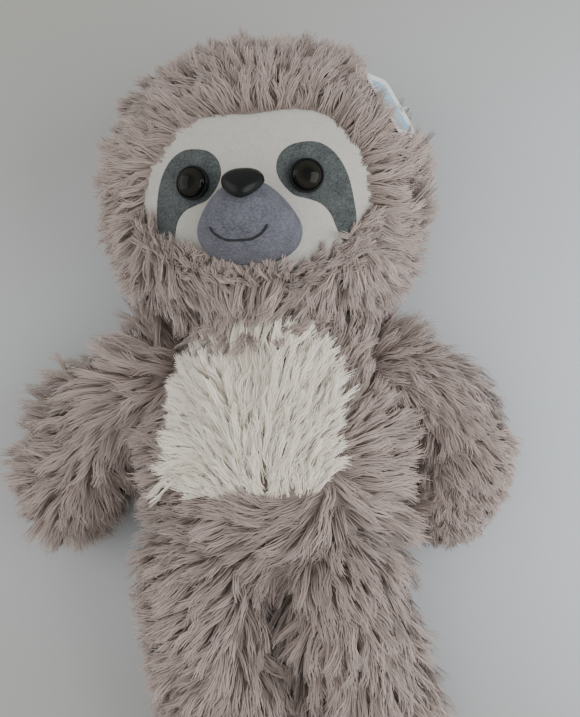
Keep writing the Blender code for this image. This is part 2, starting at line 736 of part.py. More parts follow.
def surface_frame(guide, x, y, lift, pivot_name, parent):
    """A pivot on a skin, lifted off it, whose Z axis stands square to the skin."""
    place = Vector((x, y, guide.height(x, y)))
    normal = guide.normal(x, y)
    turn = Z_AXIS.rotation_difference(normal).to_matrix().to_4x4()
    pivot = new_pivot(pivot_name, place + normal * lift, parent, turn)
    pivot.matrix_parent_inverse = Matrix.Translation(-parent.matrix_basis.translation)
    return pivot


def make_head():
    cover = add_object("head_cover", egg_shape(head_point, 0.0), FUR, HEAD)
    thicken(cover, FABRIC)
    stuffing = add_object("head_stuffing", egg_shape(head_point, FABRIC + STUFFING_GAP), STUFFING, HEAD)
    hollow = add_cutter("head_hollow", ball_shape(NECK_PIVOT, HEAD_HOLLOW_RADIUS, Y_AXIS, NECK_SEGMENTS), HEAD)
    cut(cover, hollow)
    cut(stuffing, hollow)
    outline = mirrored_outline(FACE_SHARES, FACE_CENTRE, FACE_HALF_WIDTH, FACE_HALF_HEIGHT, FACE_POINTS)
    panel = add_object("face_panel", disc_shape(outline, FACE_CENTRE, FACE_RINGS, on_head), FACE_PLUSH, HEAD)
    thicken(panel, FABRIC)
    hole = grown(outline, FACE_CENTRE, SEAT_GAP)
    cut(cover, outline_cutter("face_hole", hole, HEAD_HALF_DEPTH, HEAD_HALF_DEPTH * 2 + CUT_OVERRUN, HEAD))
    cut(cover, FLOOR)
    return cover, stuffing, panel


def make_eye(side, side_name, panel, stuffing):
    """One eye with the dark patch that it stands on and the washer that holds it."""
    lift = ROUND_GAP + EYE_PATCH_THICKNESS
    corners = [FACE_CENTRE + Vector((side * x, y)) * EYE_PATCH_LENGTH for x, y in EYE_PATCH_SHARES]
    if side < 0:
        corners.reverse()
    outline = smooth_outline(corners, EYE_PATCH_POINTS)
    middle_x, middle_y = EYE_PATCH_MIDDLE_SHARES
    centre = FACE_CENTRE + Vector((side * middle_x, middle_y)) * EYE_PATCH_LENGTH
    shape = disc_shape(outline, centre, EYE_PATCH_RINGS, lambda plan, share: on_head(plan, share) + lift)
    patch = add_object("eye_patch_" + side_name, shape, DARK_PLUSH, HEAD)
    thicken(patch, EYE_PATCH_THICKNESS)

    seat = surface_frame(HEAD_GUIDE, FACE_X + side * EYE_SPREAD, FACE_Y, lift + SEAT_GAP,
                         "eye_" + side_name + "_pivot", HEAD)
    back_radius = EYE_RADIUS + EYE_RIM
    turned("eye_base_" + side_name, [
        (0.0, EYE_BACK_THICKNESS), (back_radius, EYE_BACK_THICKNESS), (back_radius, 0.0), (SHANK_RADIUS, 0.0),
        (SHANK_RADIUS, -EYE_SHANK_LENGTH), (0.0, -EYE_SHANK_LENGTH)], BLACK_PLASTIC, seat)
    foot = EYE_BACK_THICKNESS + SEAT_GAP
    dome = []
    dome_steps = 4
    for step in range(dome_steps + 1):
        angle = math.radians(90) * (1.0 - step / dome_steps)
        dome.append((EYE_RADIUS * math.cos(angle), foot + EYE_DOME_HEIGHT * math.sin(angle)))
    dome[0] = (0.0, dome[0][1])
    dome.append((0.0, foot))
    turned("eye_dome_" + side_name, dome, EYE_BROWN, seat)

    washer_top = -(lift + SEAT_GAP + FABRIC + ROUND_GAP)
    washer_low = washer_top - WASHER_THICKNESS
    bore = SHANK_RADIUS + SEAT_GAP
    turned("eye_washer_" + side_name, [
        (bore, washer_top), (EYE_WASHER_RADIUS, washer_top), (EYE_WASHER_RADIUS, washer_low), (bore, washer_low)],
        WASHER_PLASTIC, seat)
    pocket = rod_shape(EYE_WASHER_RADIUS + SEAT_GAP, washer_low - SEAT_GAP, CUT_OVERRUN)
    cut(stuffing, add_cutter("eye_washer_pocket_" + side_name, pocket, seat, True))
    shank = rod_shape(bore, -EYE_SHANK_LENGTH - SEAT_GAP, CUT_OVERRUN)
    hole = add_cutter("eye_shank_hole_" + side_name, shank, seat, True)
    cut(stuffing, hole)
    cut(panel, hole)
    cut(patch, hole)


MUZZLE_CENTRE = FACE_CENTRE - Vector((0.0, MUZZLE_BELOW_EYES))


def muzzle_base(plan, share):
    return on_head(plan, share) + ROUND_GAP + MUZZLE_FABRIC / 2


def muzzle_surface(inset):
    """The outline and the height function of the muzzle's skin, or of one that lies inset below it."""
    outline = mirrored_outline(MUZZLE_SHARES, MUZZLE_CENTRE, MUZZLE_HALF_WIDTH - inset,
                               MUZZLE_HALF_HEIGHT - inset, MUZZLE_POINTS)

    def height(plan, share):
        swell = (1.0 - min(share, 1.0) ** MUZZLE_FLATNESS) ** (1.0 / MUZZLE_FLATNESS)
        return muzzle_base(plan, share) + (MUZZLE_HEIGHT - inset) * swell

    return outline, height


def make_muzzle():
    outline, height = muzzle_surface(0.0)
    cover = add_object("muzzle_cover", disc_shape(outline, MUZZLE_CENTRE, MUZZLE_RINGS, height), MUZZLE_PLUSH, HEAD)
    thicken(cover, MUZZLE_FABRIC)
    guide = Guide(disc_shape(outline, MUZZLE_CENTRE, MUZZLE_RINGS, height))
    inner_outline, inner_height = muzzle_surface(MUZZLE_FABRIC + STUFFING_GAP)
    shape = closed_dome(inner_outline, MUZZLE_CENTRE, MUZZLE_RINGS, inner_height, muzzle_base)
    stuffing = add_object("muzzle_stuffing", shape, STUFFING, HEAD)
    return cover, stuffing, guide


def nose_height(plan, share):
    return NOSE_HEIGHT * (1.0 - min(share, 1.0) ** NOSE_FLATNESS) ** (1.0 / NOSE_FLATNESS)


def make_nose(cover, stuffing, guide):
    seat = surface_frame(guide, FACE_X, FACE_Y - NOSE_BELOW_EYES, SEAT_GAP + ROUND_GAP, "nose_pivot", HEAD)
    outline = mirrored_outline(NOSE_SHARES, Vector((0.0, 0.0)), NOSE_HALF_WIDTH, NOSE_HALF_HEIGHT, NOSE_POINTS)
    shape = closed_dome(outline, Vector((0.0, 0.0)), NOSE_RINGS, nose_height, lambda plan, share: 0.0)
    nose = add_object("nose", shape, BLACK_PLASTIC, seat, None, True)
    shank = add_cutter("nose_shank", rod_shape(SHANK_RADIUS, -NOSE_SHANK_LENGTH, NOSE_HEIGHT / 2), seat, True)
    cut(nose, shank, "UNION")
    washer_top = -(SEAT_GAP + ROUND_GAP + MUZZLE_FABRIC + NOSE_WASHER_DROP)
    washer_low = washer_top - WASHER_THICKNESS
    bore = SHANK_RADIUS + SEAT_GAP
    turned("nose_washer", [
        (bore, washer_top), (NOSE_WASHER_RADIUS, washer_top), (NOSE_WASHER_RADIUS, washer_low), (bore, washer_low)],
        WASHER_PLASTIC, seat)
    pocket = rod_shape(NOSE_WASHER_RADIUS + SEAT_GAP, washer_low - SEAT_GAP, CUT_OVERRUN)
    cut(stuffing, add_cutter("nose_washer_pocket", pocket, seat, True))
    hole = add_cutter("nose_shank_hole", rod_shape(bore, -NOSE_SHANK_LENGTH - SEAT_GAP, CUT_OVERRUN), seat, True)
    cut(stuffing, hole)
    cut(cover, hole)


def make_mouth(guide):
    corners = [Vector((x * MOUTH_HALF_WIDTH, y * MOUTH_RISE)) for x, y in MOUTH_SHARES]
    start = FACE_CENTRE + Vector((MOUTH_X, -MOUTH_BELOW_EYES))
    points = []
    last = len(corners) - 1
    for step in range(MOUTH_SEGMENTS + 1):
        place = step * last / MOUTH_SEGMENTS
        first = min(int(place), last - 1)
        near = [corners[min(max(first + offset, 0), last)] for offset in (-1, 0, 1, 2)]
        plan = start + curve_point(*near, place - first)
        surface = Vector((plan.x, plan.y, guide.height(plan.x, plan.y)))
        points.append(surface + guide.normal(plan.x, plan.y) * (MOUTH_THREAD_RADIUS + SEAT_GAP))
    thread_curve("mouth_thread", points, MOUTH_THREAD_RADIUS, THREAD, HEAD)


# Hang tag

def arc_points(centre, radius, start, end, steps):
    """Points along an arc, with its angles in radians."""
    points = []
    for step in range(steps + 1):
        angle = start + (end - start) * step / steps
        points.append(centre + Vector((math.cos(angle), math.sin(angle))) * radius)
    return points


def add_outline(flat, points):
    line = flat.splines.new("POLY")
    line.points.add(len(points) - 1)
    line.use_cyclic_u = True
    for point, corner in zip(line.points, points):
        point.co = (corner.x, corner.y, 0.0, 1.0)


def make_card(seat):
    """The card, drawn about the middle of its hole, through which the top of the ring passes."""
    flat = bpy.data.curves.new("hang_tag", "CURVE")
    flat.dimensions = "2D"
    flat.fill_mode = "BOTH"
    flat.extrude = TAG_THICKNESS / 2
    side = TAG_LENGTH / 2 - TAG_CORNER
    low = TAG_CORNER - TAG_HOLE_INSET
    high = TAG_HEIGHT - TAG_HOLE_INSET - TAG_CORNER
    corners = []
    for quarter, place in enumerate([(side, high), (-side, high), (-side, low), (side, low)]):
        start = math.radians(90) * quarter
        corners += arc_points(Vector(place), TAG_CORNER, start, start + math.radians(90),
                              TAG_CORNER_STEPS)
    add_outline(flat, corners)
    add_outline(flat, arc_points(Vector((0.0, 0.0)), TAG_HOLE_RADIUS, 0.0, math.tau, TAG_HOLE_SEGMENTS)[:-1])
    lean = Matrix(((0.0, -math.sin(TAG_LEAN), math.cos(TAG_LEAN)), (1.0, 0.0, 0.0),
                   (0.0, math.cos(TAG_LEAN), math.sin(TAG_LEAN)))).to_4x4()
    pivot = new_pivot("hang_tag_pivot", Vector((RING_STEM + RING_RADIUS, 0.0, RING_RADIUS)), seat, lean)
    add_mesh("hang_tag", mesh_of_curve(flat), CARD, pivot, None, True)


def make_tag(cover, stuffing):
    """The card hangs on a ring whose barb sits between the head's cloth and its stuffing."""
    outwards = Vector((math.cos(TAG_ROOT_ANGLE), math.sin(TAG_ROOT_ANGLE), 0.0))
    head_shape = egg_shape(head_point, 0.0)
    tree = BVHTree.FromBMesh(head_shape)
    head_shape.free()
    middle = Vector((0.0, HEAD_CENTRE_Y, TAG_ROOT_Z))
    root = tree.ray_cast(middle + outwards * HEAD_HALF_WIDTH * 2, -outwards)[0]
    seat = new_pivot("tag_fastener_pivot", root, HEAD, Matrix.Rotation(TAG_ROOT_ANGLE, 4, "Z"))
    seat.matrix_parent_inverse = Matrix.Translation(-HEAD.matrix_basis.translation)

    ring = bpy.data.curves.new("tag_fastener", "CURVE")
    ring.dimensions = "3D"
    ring.bevel_depth = RING_WIRE_RADIUS
    ring.bevel_resolution = 2
    line = ring.splines.new("POLY")
    line.points.add(RING_SEGMENTS - 1)
    line.use_cyclic_u = True
    for step, point in enumerate(line.points):
        angle = math.tau * (step + 0.5) / RING_SEGMENTS
        point.co = (RING_STEM + RING_RADIUS + RING_RADIUS * math.cos(angle), 0.0, RING_RADIUS * math.sin(angle), 1.0)
    fastener = add_mesh("tag_fastener", mesh_of_curve(ring), NYLON, seat, None, True)
    along_x = Matrix.Rotation(math.radians(90), 4, "Y")
    along_y = Matrix.Rotation(math.radians(-90), 4, "X")
    barb_depth = FABRIC + ROUND_GAP + BARB_RADIUS
    stem = rod_shape(RING_WIRE_RADIUS, -barb_depth, RING_STEM, along_x)
    cut(fastener, add_cutter("tag_stem", stem, seat, True), "UNION")
    barb_place = Matrix.Translation(Vector((-barb_depth, 0.0, 0.0))) @ along_y
    barb = rod_shape(BARB_RADIUS, -BARB_HALF_LENGTH, BARB_HALF_LENGTH, barb_place)
    cut(fastener, add_cutter("tag_barb", barb, seat, True), "UNION")

    stem_hole = rod_shape(RING_WIRE_RADIUS + SEAT_GAP, -barb_depth, CUT_OVERRUN, along_x)
    cut(cover, add_cutter("tag_stem_hole", stem_hole, seat, True))
    reach = BARB_HALF_LENGTH + SEAT_GAP
    pocket = rod_shape(BARB_RADIUS + ROUND_GAP, -reach, reach, barb_place)
    cut(stuffing, add_cutter("tag_barb_pocket", pocket, seat, True))
    make_card(seat)


def main():
    hollows = [make_limb(limb) for limb in LIMBS]
    make_body(hollows)
    make_closing_seam()
    make_neck()
    cover, stuffing, panel = make_head()
    for side, side_name in ((-1.0, "left"), (1.0, "right")):
        make_eye(side, side_name, panel, stuffing)
    muzzle_cover, muzzle_stuffing, guide = make_muzzle()
    make_nose(muzzle_cover, muzzle_stuffing, guide)
    make_mouth(guide)
    make_tag(cover, stuffing)


main()
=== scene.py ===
import math

import bmesh
import bpy
import numpy as np
from mathutils import Matrix, Vector, kdtree, noise
from mathutils.bvhtree import BVHTree


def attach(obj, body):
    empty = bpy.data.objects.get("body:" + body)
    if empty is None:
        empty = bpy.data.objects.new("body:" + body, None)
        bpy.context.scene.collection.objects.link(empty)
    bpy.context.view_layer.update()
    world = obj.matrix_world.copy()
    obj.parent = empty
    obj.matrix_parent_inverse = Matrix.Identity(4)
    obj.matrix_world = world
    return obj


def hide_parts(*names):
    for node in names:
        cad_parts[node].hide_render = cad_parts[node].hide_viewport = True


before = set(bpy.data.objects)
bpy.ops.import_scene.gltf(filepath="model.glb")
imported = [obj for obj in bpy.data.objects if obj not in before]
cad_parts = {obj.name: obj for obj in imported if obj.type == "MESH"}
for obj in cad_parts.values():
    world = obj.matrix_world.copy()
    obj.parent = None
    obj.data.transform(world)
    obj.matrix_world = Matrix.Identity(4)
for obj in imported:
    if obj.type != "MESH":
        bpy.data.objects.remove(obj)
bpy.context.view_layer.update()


# Camera. It looks down on the lying toy from over its belly, a little from the right of the head and from
# below it. The focal length and the width of the picture are in pixels.

MM = 0.001
camera_place = Vector((87.3, 2.95, 517.2)) * MM
camera_target = Vector((7.88, 35.65, 50.0)) * MM
focal_length = 1205.0
picture_width = 580.0

camera = bpy.data.objects.new("camera", bpy.data.cameras.new("camera"))
bpy.context.scene.collection.objects.link(camera)
look = (camera_target - camera_place).normalized()
across = look.cross(Vector((0.0, 1.0, 0.0))).normalized()
camera_turn = Matrix((across, across.cross(look), -look)).transposed().to_4x4()
camera.matrix_world = Matrix.Translation(camera_place) @ camera_turn
camera.data.sensor_fit = "HORIZONTAL"
camera.data.sensor_width = 36.0
camera.data.lens = focal_length / picture_width * camera.data.sensor_width
camera.data.clip_start = 0.01
bpy.context.scene.camera = camera


# Table top. A matt, near-white board with a faint grain, on which the toy lies. Its colour carries painted
# light: palest on the right, towards the window, in a band across at the level of the belly, darker away.

table_half = 2.5
painted_light_middle = (0.45, 0.06, 0.0)
painted_light_narrowing = 3.0


def new_finish(name, colour, roughness, **values):
    """A new material with its node tree and its shader, for which other sockets can be named with
    underscores."""
    finish = bpy.data.materials.new(name)
    finish.use_nodes = True
    tree = finish.node_tree
    shader = tree.nodes["Principled BSDF"]
    shader.inputs["Base Color"].default_value = (*colour, 1.0)
    shader.inputs["Roughness"].default_value = roughness
    for socket, value in values.items():
        shader.inputs[socket.replace("_", " ")].default_value = value
    return finish, tree, shader


def add_node(tree, kind, settings=(), **inputs):
    """A node whose inputs are named, or numbered as i0, i1 and so on, and take a value or another node's
    output."""
    node = tree.nodes.new(kind)
    for name, value in dict(settings).items():
        setattr(node, name, value)
    for name, value in inputs.items():
        numbered = name[0] == "i" and name[1:].isdigit()
        socket = node.inputs[int(name[1:])] if numbered else node.inputs[name]
        if isinstance(value, bpy.types.NodeSocket):
            tree.links.new(value, socket)
        else:
            socket.default_value = value
    return node


def object_place(tree):
    return tree.nodes.new("ShaderNodeTexCoord").outputs["Object"]


def colour_ramp(tree, factor, stops):
    ramp = tree.nodes.new("ShaderNodeValToRGB")
    while len(ramp.color_ramp.elements) < len(stops):
        ramp.color_ramp.elements.new(0.5)
    for element, (place, colour) in zip(ramp.color_ramp.elements, stops):
        element.position = place
        element.color = (*colour, 1.0)
    tree.links.new(factor, ramp.inputs["Fac"])
    return ramp.outputs["Color"]


sheet = bmesh.new()
bmesh.ops.create_grid(sheet, x_segments=1, y_segments=1, size=table_half)
mesh = bpy.data.meshes.new("table_top")
sheet.to_mesh(mesh)
sheet.free()
table = bpy.data.objects.new("table_top", mesh)
bpy.context.scene.collection.objects.link(table)

board_with_painted_light, tree, shader = new_finish("board_with_painted_light", (0.5, 0.51, 0.52), 0.75)
place = object_place(tree)
grain = add_node(tree, "ShaderNodeTexNoise", Vector=place, Scale=900.0, Detail=3.0)
grain_tint = colour_ramp(tree, grain.outputs["Fac"], [(0.3, (0.96, 0.96, 0.96)), (0.7, (1.0, 1.0, 1.0))])
# Painted light: the board is paler in a band towards the window and darker away from it, in place of the
# window's light on it.
laid = add_node(tree, "ShaderNodeMapping", Vector=place, Scale=(1.0, painted_light_narrowing, 1.0))
away = add_node(tree, "ShaderNodeVectorMath", {"operation": "DISTANCE"}, i0=laid.outputs["Vector"],
                i1=painted_light_middle)
painted_light_tint = colour_ramp(tree, away.outputs["Value"], [
    (0.22, (0.7, 0.755, 0.805)), (0.86, (0.375, 0.375, 0.35))])
painted_light_tint.node.color_ramp.interpolation = "EASE"
both = add_node(tree, "ShaderNodeVectorMath", {"operation": "MULTIPLY"}, i0=grain_tint, i1=painted_light_tint)
tree.links.new(both.outputs["Vector"], shader.inputs["Base Color"])
mesh.materials.append(board_with_painted_light)


# Light. A wide window to the right of the toy gives most of it. A weak light overhead, one from the left
# wall and an even, slightly warm room soften the shadows.

def make_lamp(name, place, width, power, colour):
    """A square of light that faces the toy."""
    lamp = bpy.data.objects.new(name, bpy.data.lights.new(name, "AREA"))
    lamp.data.shape = "RECTANGLE"
    lamp.data.size = width
    lamp.data.size_y = width
    lamp.data.energy = power
    lamp.data.color = colour
    towards = camera_target - Vector(place)
    lamp.matrix_world = Matrix.Translation(place) @ towards.to_track_quat("-Z", "Y").to_matrix().to_4x4()
    bpy.context.scene.collection.objects.link(lamp)


make_lamp("window", (1.15, -0.1, 0.7), 1.2, 17.0, (0.985, 0.99, 1.0))
make_lamp("ceiling", (-0.1, -0.4, 1.5), 1.8, 2.0, (1.0, 0.985, 0.96))
make_lamp("left_wall", (-1.1, 0.2, 0.6), 1.2, 6.5, (1.0, 0.99, 0.97))
room = bpy.data.worlds.new("room")
room.use_nodes = True
room.node_tree.nodes["Background"].inputs["Color"].default_value = (1.0, 0.985, 0.97, 1.0)
room.node_tree.nodes["Background"].inputs["Strength"].default_value = 0.65
bpy.context.scene.world = room


# Cloth of the head, body and limbs: the woven back of the long-pile plush, sewn into squarish eggs and bent
# socks and stuffed with fibre. Each skin stands for a cover and its stuffing. The head is rolled a little
# on the neck.

squareness = 2.25
floor_cut = 0.5 * MM
lowest = 0.3 * MM
head_half = Vector((57.5, 53.0, 46.0)) * MM
head_middle = Vector((0.0, 103.0, 45.5)) * MM
head_roll_angle = math.radians(2.0)
body_half = Vector((46.0, 54.0, 36.0)) * MM
body_middle = Vector((0.0, 0.0, 35.5)) * MM
neck_radius = 41.0 * MM
neck_round = math.radians(42.0)
neck_blend = math.radians(26.0)
ball_end = math.radians(64.0)
arm_sizes = {"ball": 16.5, "waist": 15.2, "waist_along": 20.0, "paw": 19.0, "paw_along": 62.0}
leg_sizes = {"ball": 20.5, "waist": 20.2, "waist_along": 24.0, "paw": 24.5, "paw_along": 70.0}

neck_pivot = Vector((0.0, 19.0, 38.0)) * MM
shoulder_left = Vector((-45.0, 29.0, 33.0)) * MM
shoulder_right = Vector((45.0, 29.0, 33.0)) * MM
hip_left = Vector((-26.5, -47.0, 45.0)) * MM
hip_right = Vector((27.5, -47.0, 45.0)) * MM
head_roll = (Matrix.Translation(neck_pivot) @ Matrix.Rotation(head_roll_angle, 4, "Z")
             @ Matrix.Translation(-neck_pivot))


def eased(share, size=1.0):
    """A rise to a size, which starts and ends gently as the share goes from 0 to 1."""
    return size * share * share * (3.0 - 2.0 * share)


def egg_point(direction, half):
    size = sum(abs(x) ** squareness for x in direction) ** (1.0 / squareness)
    return Vector(x * h for x, h in zip(direction, half)) / size


def head_point(direction):
    return head_roll @ (egg_point(direction, head_half) + head_middle)


def body_point(direction):
    """A point of the body's egg, which is drawn in to a ball about the neck's pivot at its top."""
    from_neck = egg_point(direction, body_half) + body_middle - neck_pivot
    share = (from_neck.angle(Vector((0.0, 1.0, 0.0))) - neck_round) / neck_blend
    follow = 1.0 - eased(min(max(share, 0.0), 1.0))
    return neck_pivot + from_neck.lerp(from_neck.normalized() * neck_radius, follow)


class Limb:
    """A limb's skin: a ball at the root, a waist and a fuller paw, bent sideways and down onto the table."""

    def __init__(self, place, side, ball, waist, waist_along, paw, paw_along, yaw, end_yaw):
        self.place = place
        self.side = side
        self.ball, self.paw, self.paw_along = ball * MM, paw * MM, paw_along * MM
        self.yaw, self.end_yaw = math.radians(yaw), math.radians(end_yaw)
        self.bend_start = self.ball * math.cos(ball_end)
        self.drop = self.place.z + floor_cut - self.paw
        angle = np.linspace(math.pi, ball_end, 24)
        swell = np.linspace(0.0, 1.0, 16)
        end = np.linspace(math.pi / 2, 0.0, 20)
        along = [self.ball * np.cos(angle), waist_along * MM + (paw_along - waist_along) * MM * swell,
                 self.paw_along + self.paw * np.cos(end)]
        reach = [self.ball * np.sin(angle), waist * MM + (paw - waist) * MM * eased(swell),
                 self.paw * np.sin(end)]
        self.along = np.concatenate(along)
        self.reach = np.concatenate(reach)
        steps = np.hypot(np.diff(self.along), np.diff(self.reach))
        self.arc = np.concatenate([[0.0], np.cumsum(steps)])

    def heading(self, share):
        return self.yaw + eased(min(share, 1.0), self.end_yaw - self.yaw)

    def ahead(self, heading):
        return Vector((self.side * math.sin(heading), -math.cos(heading), 0.0))

    def point(self, direction):
        """The point of the skin that belongs to a direction, whose Z runs from the root to the paw."""
        share = direction.angle(Vector((0.0, 0.0, -1.0))) / math.pi * self.arc[-1]
        along = float(np.interp(share, self.arc, self.along))
        reach = float(np.interp(share, self.arc, self.reach))
        flat = Vector((direction.x, direction.y))
        flat = flat.normalized() * reach if flat.length > 1e-6 else flat * 0.0
        beyond = max(along - self.bend_start, 0.0)
        length = self.paw_along - self.bend_start
        place = self.ahead(self.yaw) * min(along, self.bend_start)
        steps = 12
        for step in range(steps):
            place += self.ahead(self.heading((step + 0.5) / steps * beyond / length)) * beyond / steps
        share = min(beyond / length, 1.0)
        heading = self.heading(share)
        place.z -= eased(share, self.drop)
        place += Vector((math.cos(heading), self.side * math.sin(heading), 0.0)) * flat.x
        return self.place + place + Vector((0.0, 0.0, flat.y))


def make_skin(name, point_of, body, part):
    """A closed skin, flat where it lies on the table. Its corners and faces are put in a fixed order, so
    that the pile is scattered over them in the same way each time."""
    ball = bmesh.new()
    bmesh.ops.create_uvsphere(ball, u_segments=56, v_segments=36, radius=1.0)
    bmesh.ops.recalc_face_normals(ball, faces=ball.faces)
    directions = {vertex: tuple(round(x, 4) for x in vertex.co) for vertex in ball.verts}
    order = {vertex: index for index, vertex in enumerate(sorted(ball.verts, key=directions.get))}
    places = [point_of(Vector(directions[vertex]).normalized()) for vertex in order]
    faces = []
    for face in ball.faces:
        corners = [order[vertex] for vertex in face.verts]
        first = corners.index(min(corners))
        faces.append(corners[first:] + corners[:first])
    ball.free()
    mesh = bpy.data.meshes.new(name)
    mesh.from_pydata([(x, y, max(z, lowest)) for x, y, z in places], [], sorted(faces))
    mesh.shade_smooth()
    mesh.materials.append(backing)
    skin = bpy.data.objects.new(name, mesh)
    bpy.context.scene.collection.objects.link(skin)
    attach(skin, body)
    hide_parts(part + "_cover", part + "_stuffing")
    return skin


# Partly painted shade: the skins are darker than the backing cloth's own colour, standing in for the shade
# deep in the pile between the tufts.
backing, tree, shader = new_finish("pile_backing_and_painted_shade", (0.2, 0.165, 0.148), 0.95)
patchy = add_node(tree, "ShaderNodeTexNoise", Vector=object_place(tree), Scale=260.0, Detail=4.0)
tint = colour_ramp(tree, patchy.outputs["Fac"], [(0.3, (0.15, 0.122, 0.11)), (0.75, (0.25, 0.205, 0.185))])
tree.links.new(tint, shader.inputs["Base Color"])

limbs = {
    "arm_left": Limb(shoulder_left, -1.0, **arm_sizes, yaw=58.0, end_yaw=40.0),
    "arm_right": Limb(shoulder_right, 1.0, **arm_sizes, yaw=66.0, end_yaw=-30.0),
    "leg_left": Limb(hip_left, -1.0, **leg_sizes, yaw=-7.0, end_yaw=-7.0),
    "leg_right": Limb(hip_right, 1.0, **leg_sizes, yaw=9.0, end_yaw=9.0),
}
skins = {
    "head": make_skin("head_skin", head_point, "head", "head"),
    "torso": make_skin("body_skin", body_point, "torso", "body"),
}
for name, limb in limbs.items():
    skins[name] = make_skin(name + "_skin", limb.point, name, name)


# Face. It is one piece of short cream plush, let into the front of the head, with its edge turned in all
# round. The rest of the face is sewn onto it.

face_at = np.array([2.6, 98.495]) * MM
face_half = np.array([45.0, 36.0]) * MM
face_lift = 1.1 * MM
face_tuck = 2.4 * MM
grain_scale = 1500.0


def head_height(x, y):
    """Height of the head's skin over a point of the plan, with the head straight."""
    rest = 1.0 - abs(x / head_half.x) ** squareness - abs((y - head_middle.y) / head_half.y) ** squareness
    return head_middle.z + head_half.z * max(rest, 0.0) ** (1.0 / squareness)


def between(before, start, end, after, part):
    """A point on the smooth curve from start to end that also passes through the knots beside them."""
    return 0.5 * (2 * start + (end - before) * part + (2 * before - 5 * start + 4 * end - after) * part ** 2
                  + (3 * start - before - 3 * end + after) * part ** 3)


def smooth_loop(corners, count):
    """Even steps along the smooth closed curve through the corners."""
    corners = np.array(corners, float)
    at = np.arange(count) * len(corners) / count
    first = at.astype(int)
    knots = [corners[(first + offset) % len(corners)] for offset in (-1, 0, 1, 2)]
    return between(*knots, (at - first)[:, None])


def both_sides(shares, centre, half, count):
    """A closed outline from the shares of its right side, which run from the top down."""
    right = np.array(shares, float) * half
    left = right[1:-1][::-1] * (-1, 1)
    return smooth_loop(np.concatenate([right, left])[::-1] + centre, count)


def make_cap(name, outline, centre, rings, height, finish, place=head_roll, base=None, even=False):
    """A round-edged cap over an outline, or, with a base, a closed one. Rings crowd towards its edge."""
    count = len(outline)
    shape = bmesh.new()
    bmesh.ops.create_uvsphere(shape, u_segments=count, v_segments=rings * 2, radius=1.0)
    if base is None:
        lower = [vertex for vertex in shape.verts if vertex.co.z < -1e-4]
        bmesh.ops.delete(shape, geom=lower, context="VERTS")
    for vertex in shape.verts:
        rise = math.asin(min(max(vertex.co.z, -1.0), 1.0))
        share = 1.0 - abs(rise) / (math.pi / 2) if even else math.cos(rise)
        step = round(math.atan2(vertex.co.y, vertex.co.x) / math.tau * count) % count
        x, y = centre + (outline[step] - centre) * share
        level = height if vertex.co.z > -1e-4 else base
        vertex.co = place @ Vector((x, y, level(x, y, min(share, 1.0))))
    bmesh.ops.recalc_face_normals(shape, faces=shape.faces)
    upwards = sum(face.normal.z * face.calc_area() for face in shape.faces)
    if base is None and upwards < 0.0:
        bmesh.ops.reverse_faces(shape, faces=shape.faces)
    mesh = bpy.data.meshes.new(name)
    shape.to_mesh(mesh)
    shape.free()
    mesh.shade_smooth()
    mesh.materials.append(finish)
    cap = bpy.data.objects.new(name, mesh)
    bpy.context.scene.collection.objects.link(cap)
    return cap


def add_relief(tree, shader, height, strength, distance):
    bump = add_node(tree, "ShaderNodeBump", Height=height, Strength=strength, Distance=distance)
    tree.links.new(bump.outputs["Normal"], shader.inputs["Normal"])


def short_pile(name, dark, light, stretch, depth):
    """Matt plush whose short pile shows as fine grains or, stretched, as ribs."""
    finish, tree, shader = new_finish(name, light, 0.95, Sheen_Weight=0.05, Sheen_Roughness=0.6)
    shader.inputs["Specular IOR Level"].default_value = 0.1
    place = object_place(tree)
    laid = add_node(tree, "ShaderNodeMapping", Vector=place, Scale=stretch)
    grain = add_node(tree, "ShaderNodeTexNoise", Vector=laid.outputs["Vector"], Scale=grain_scale, Detail=3.0,
                     Roughness=0.65)
    broad = add_node(tree, "ShaderNodeTexNoise", Vector=place, Scale=grain_scale * 0.14, Detail=2.0)
    mixed = add_node(tree, "ShaderNodeMath", {"operation": "MULTIPLY_ADD"}, i0=broad.outputs["Fac"], i1=0.35,
                     i2=grain.outputs["Fac"])
    tint = colour_ramp(tree, mixed.outputs["Value"], [(0.42, dark), (0.86, light)])
    tree.links.new(tint, shader.inputs["Base Color"])
    add_relief(tree, shader, grain.outputs["Fac"], 0.55, depth)
    return finish


def face_height(x, y, share):
    return head_height(x, y) + face_lift - face_tuck * share ** 24


face_edge = both_sides([(0.0, 0.71), (0.29, 0.75), (0.56, 0.72), (0.76, 0.57), (0.91, 0.32), (1.0, 0.0),
                        (0.98, -0.31), (0.87, -0.58), (0.6, -0.86), (0.29, -0.97), (0.0, -1.0)],
                       face_at, face_half, 144)
face_cloth = short_pile("cream_short_pile", (0.42, 0.41, 0.37), (0.52, 0.512, 0.468), (1.0, 1.0, 1.0),
                        0.12 * MM)
face = make_cap("face_cloth", face_edge, face_at, 36, face_height, face_cloth, even=True)
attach(face, "head")
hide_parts("face_panel")


# Eye patches. Each is a bean of short dark-grey plush, sewn flat onto the face round one eye. The right one's
# outline is given as shares of patch_size from the middle of the face, and the left one mirrors it.

patch_size = 36.6 * MM
patch_lift = 1.35 * MM
patch_tuck = 1.2 * MM
patch_middle = (0.78, -0.02)
patch_shares = np.array([
    (0.56, 0.37), (0.4, 0.33), (0.3, 0.24), (0.26, 0.13), (0.27, 0.02), (0.33, -0.09), (0.43, -0.19),
    (0.56, -0.23), (0.69, -0.28), (0.78, -0.38), (0.83, -0.52), (0.88, -0.63), (0.98, -0.59), (1.03, -0.42),
    (1.02, -0.22), (0.99, -0.03), (0.93, 0.14), (0.83, 0.28), (0.7, 0.36)])


def patch_height(x, y, share):
    return head_height(x, y) + patch_lift - patch_tuck * share ** 40


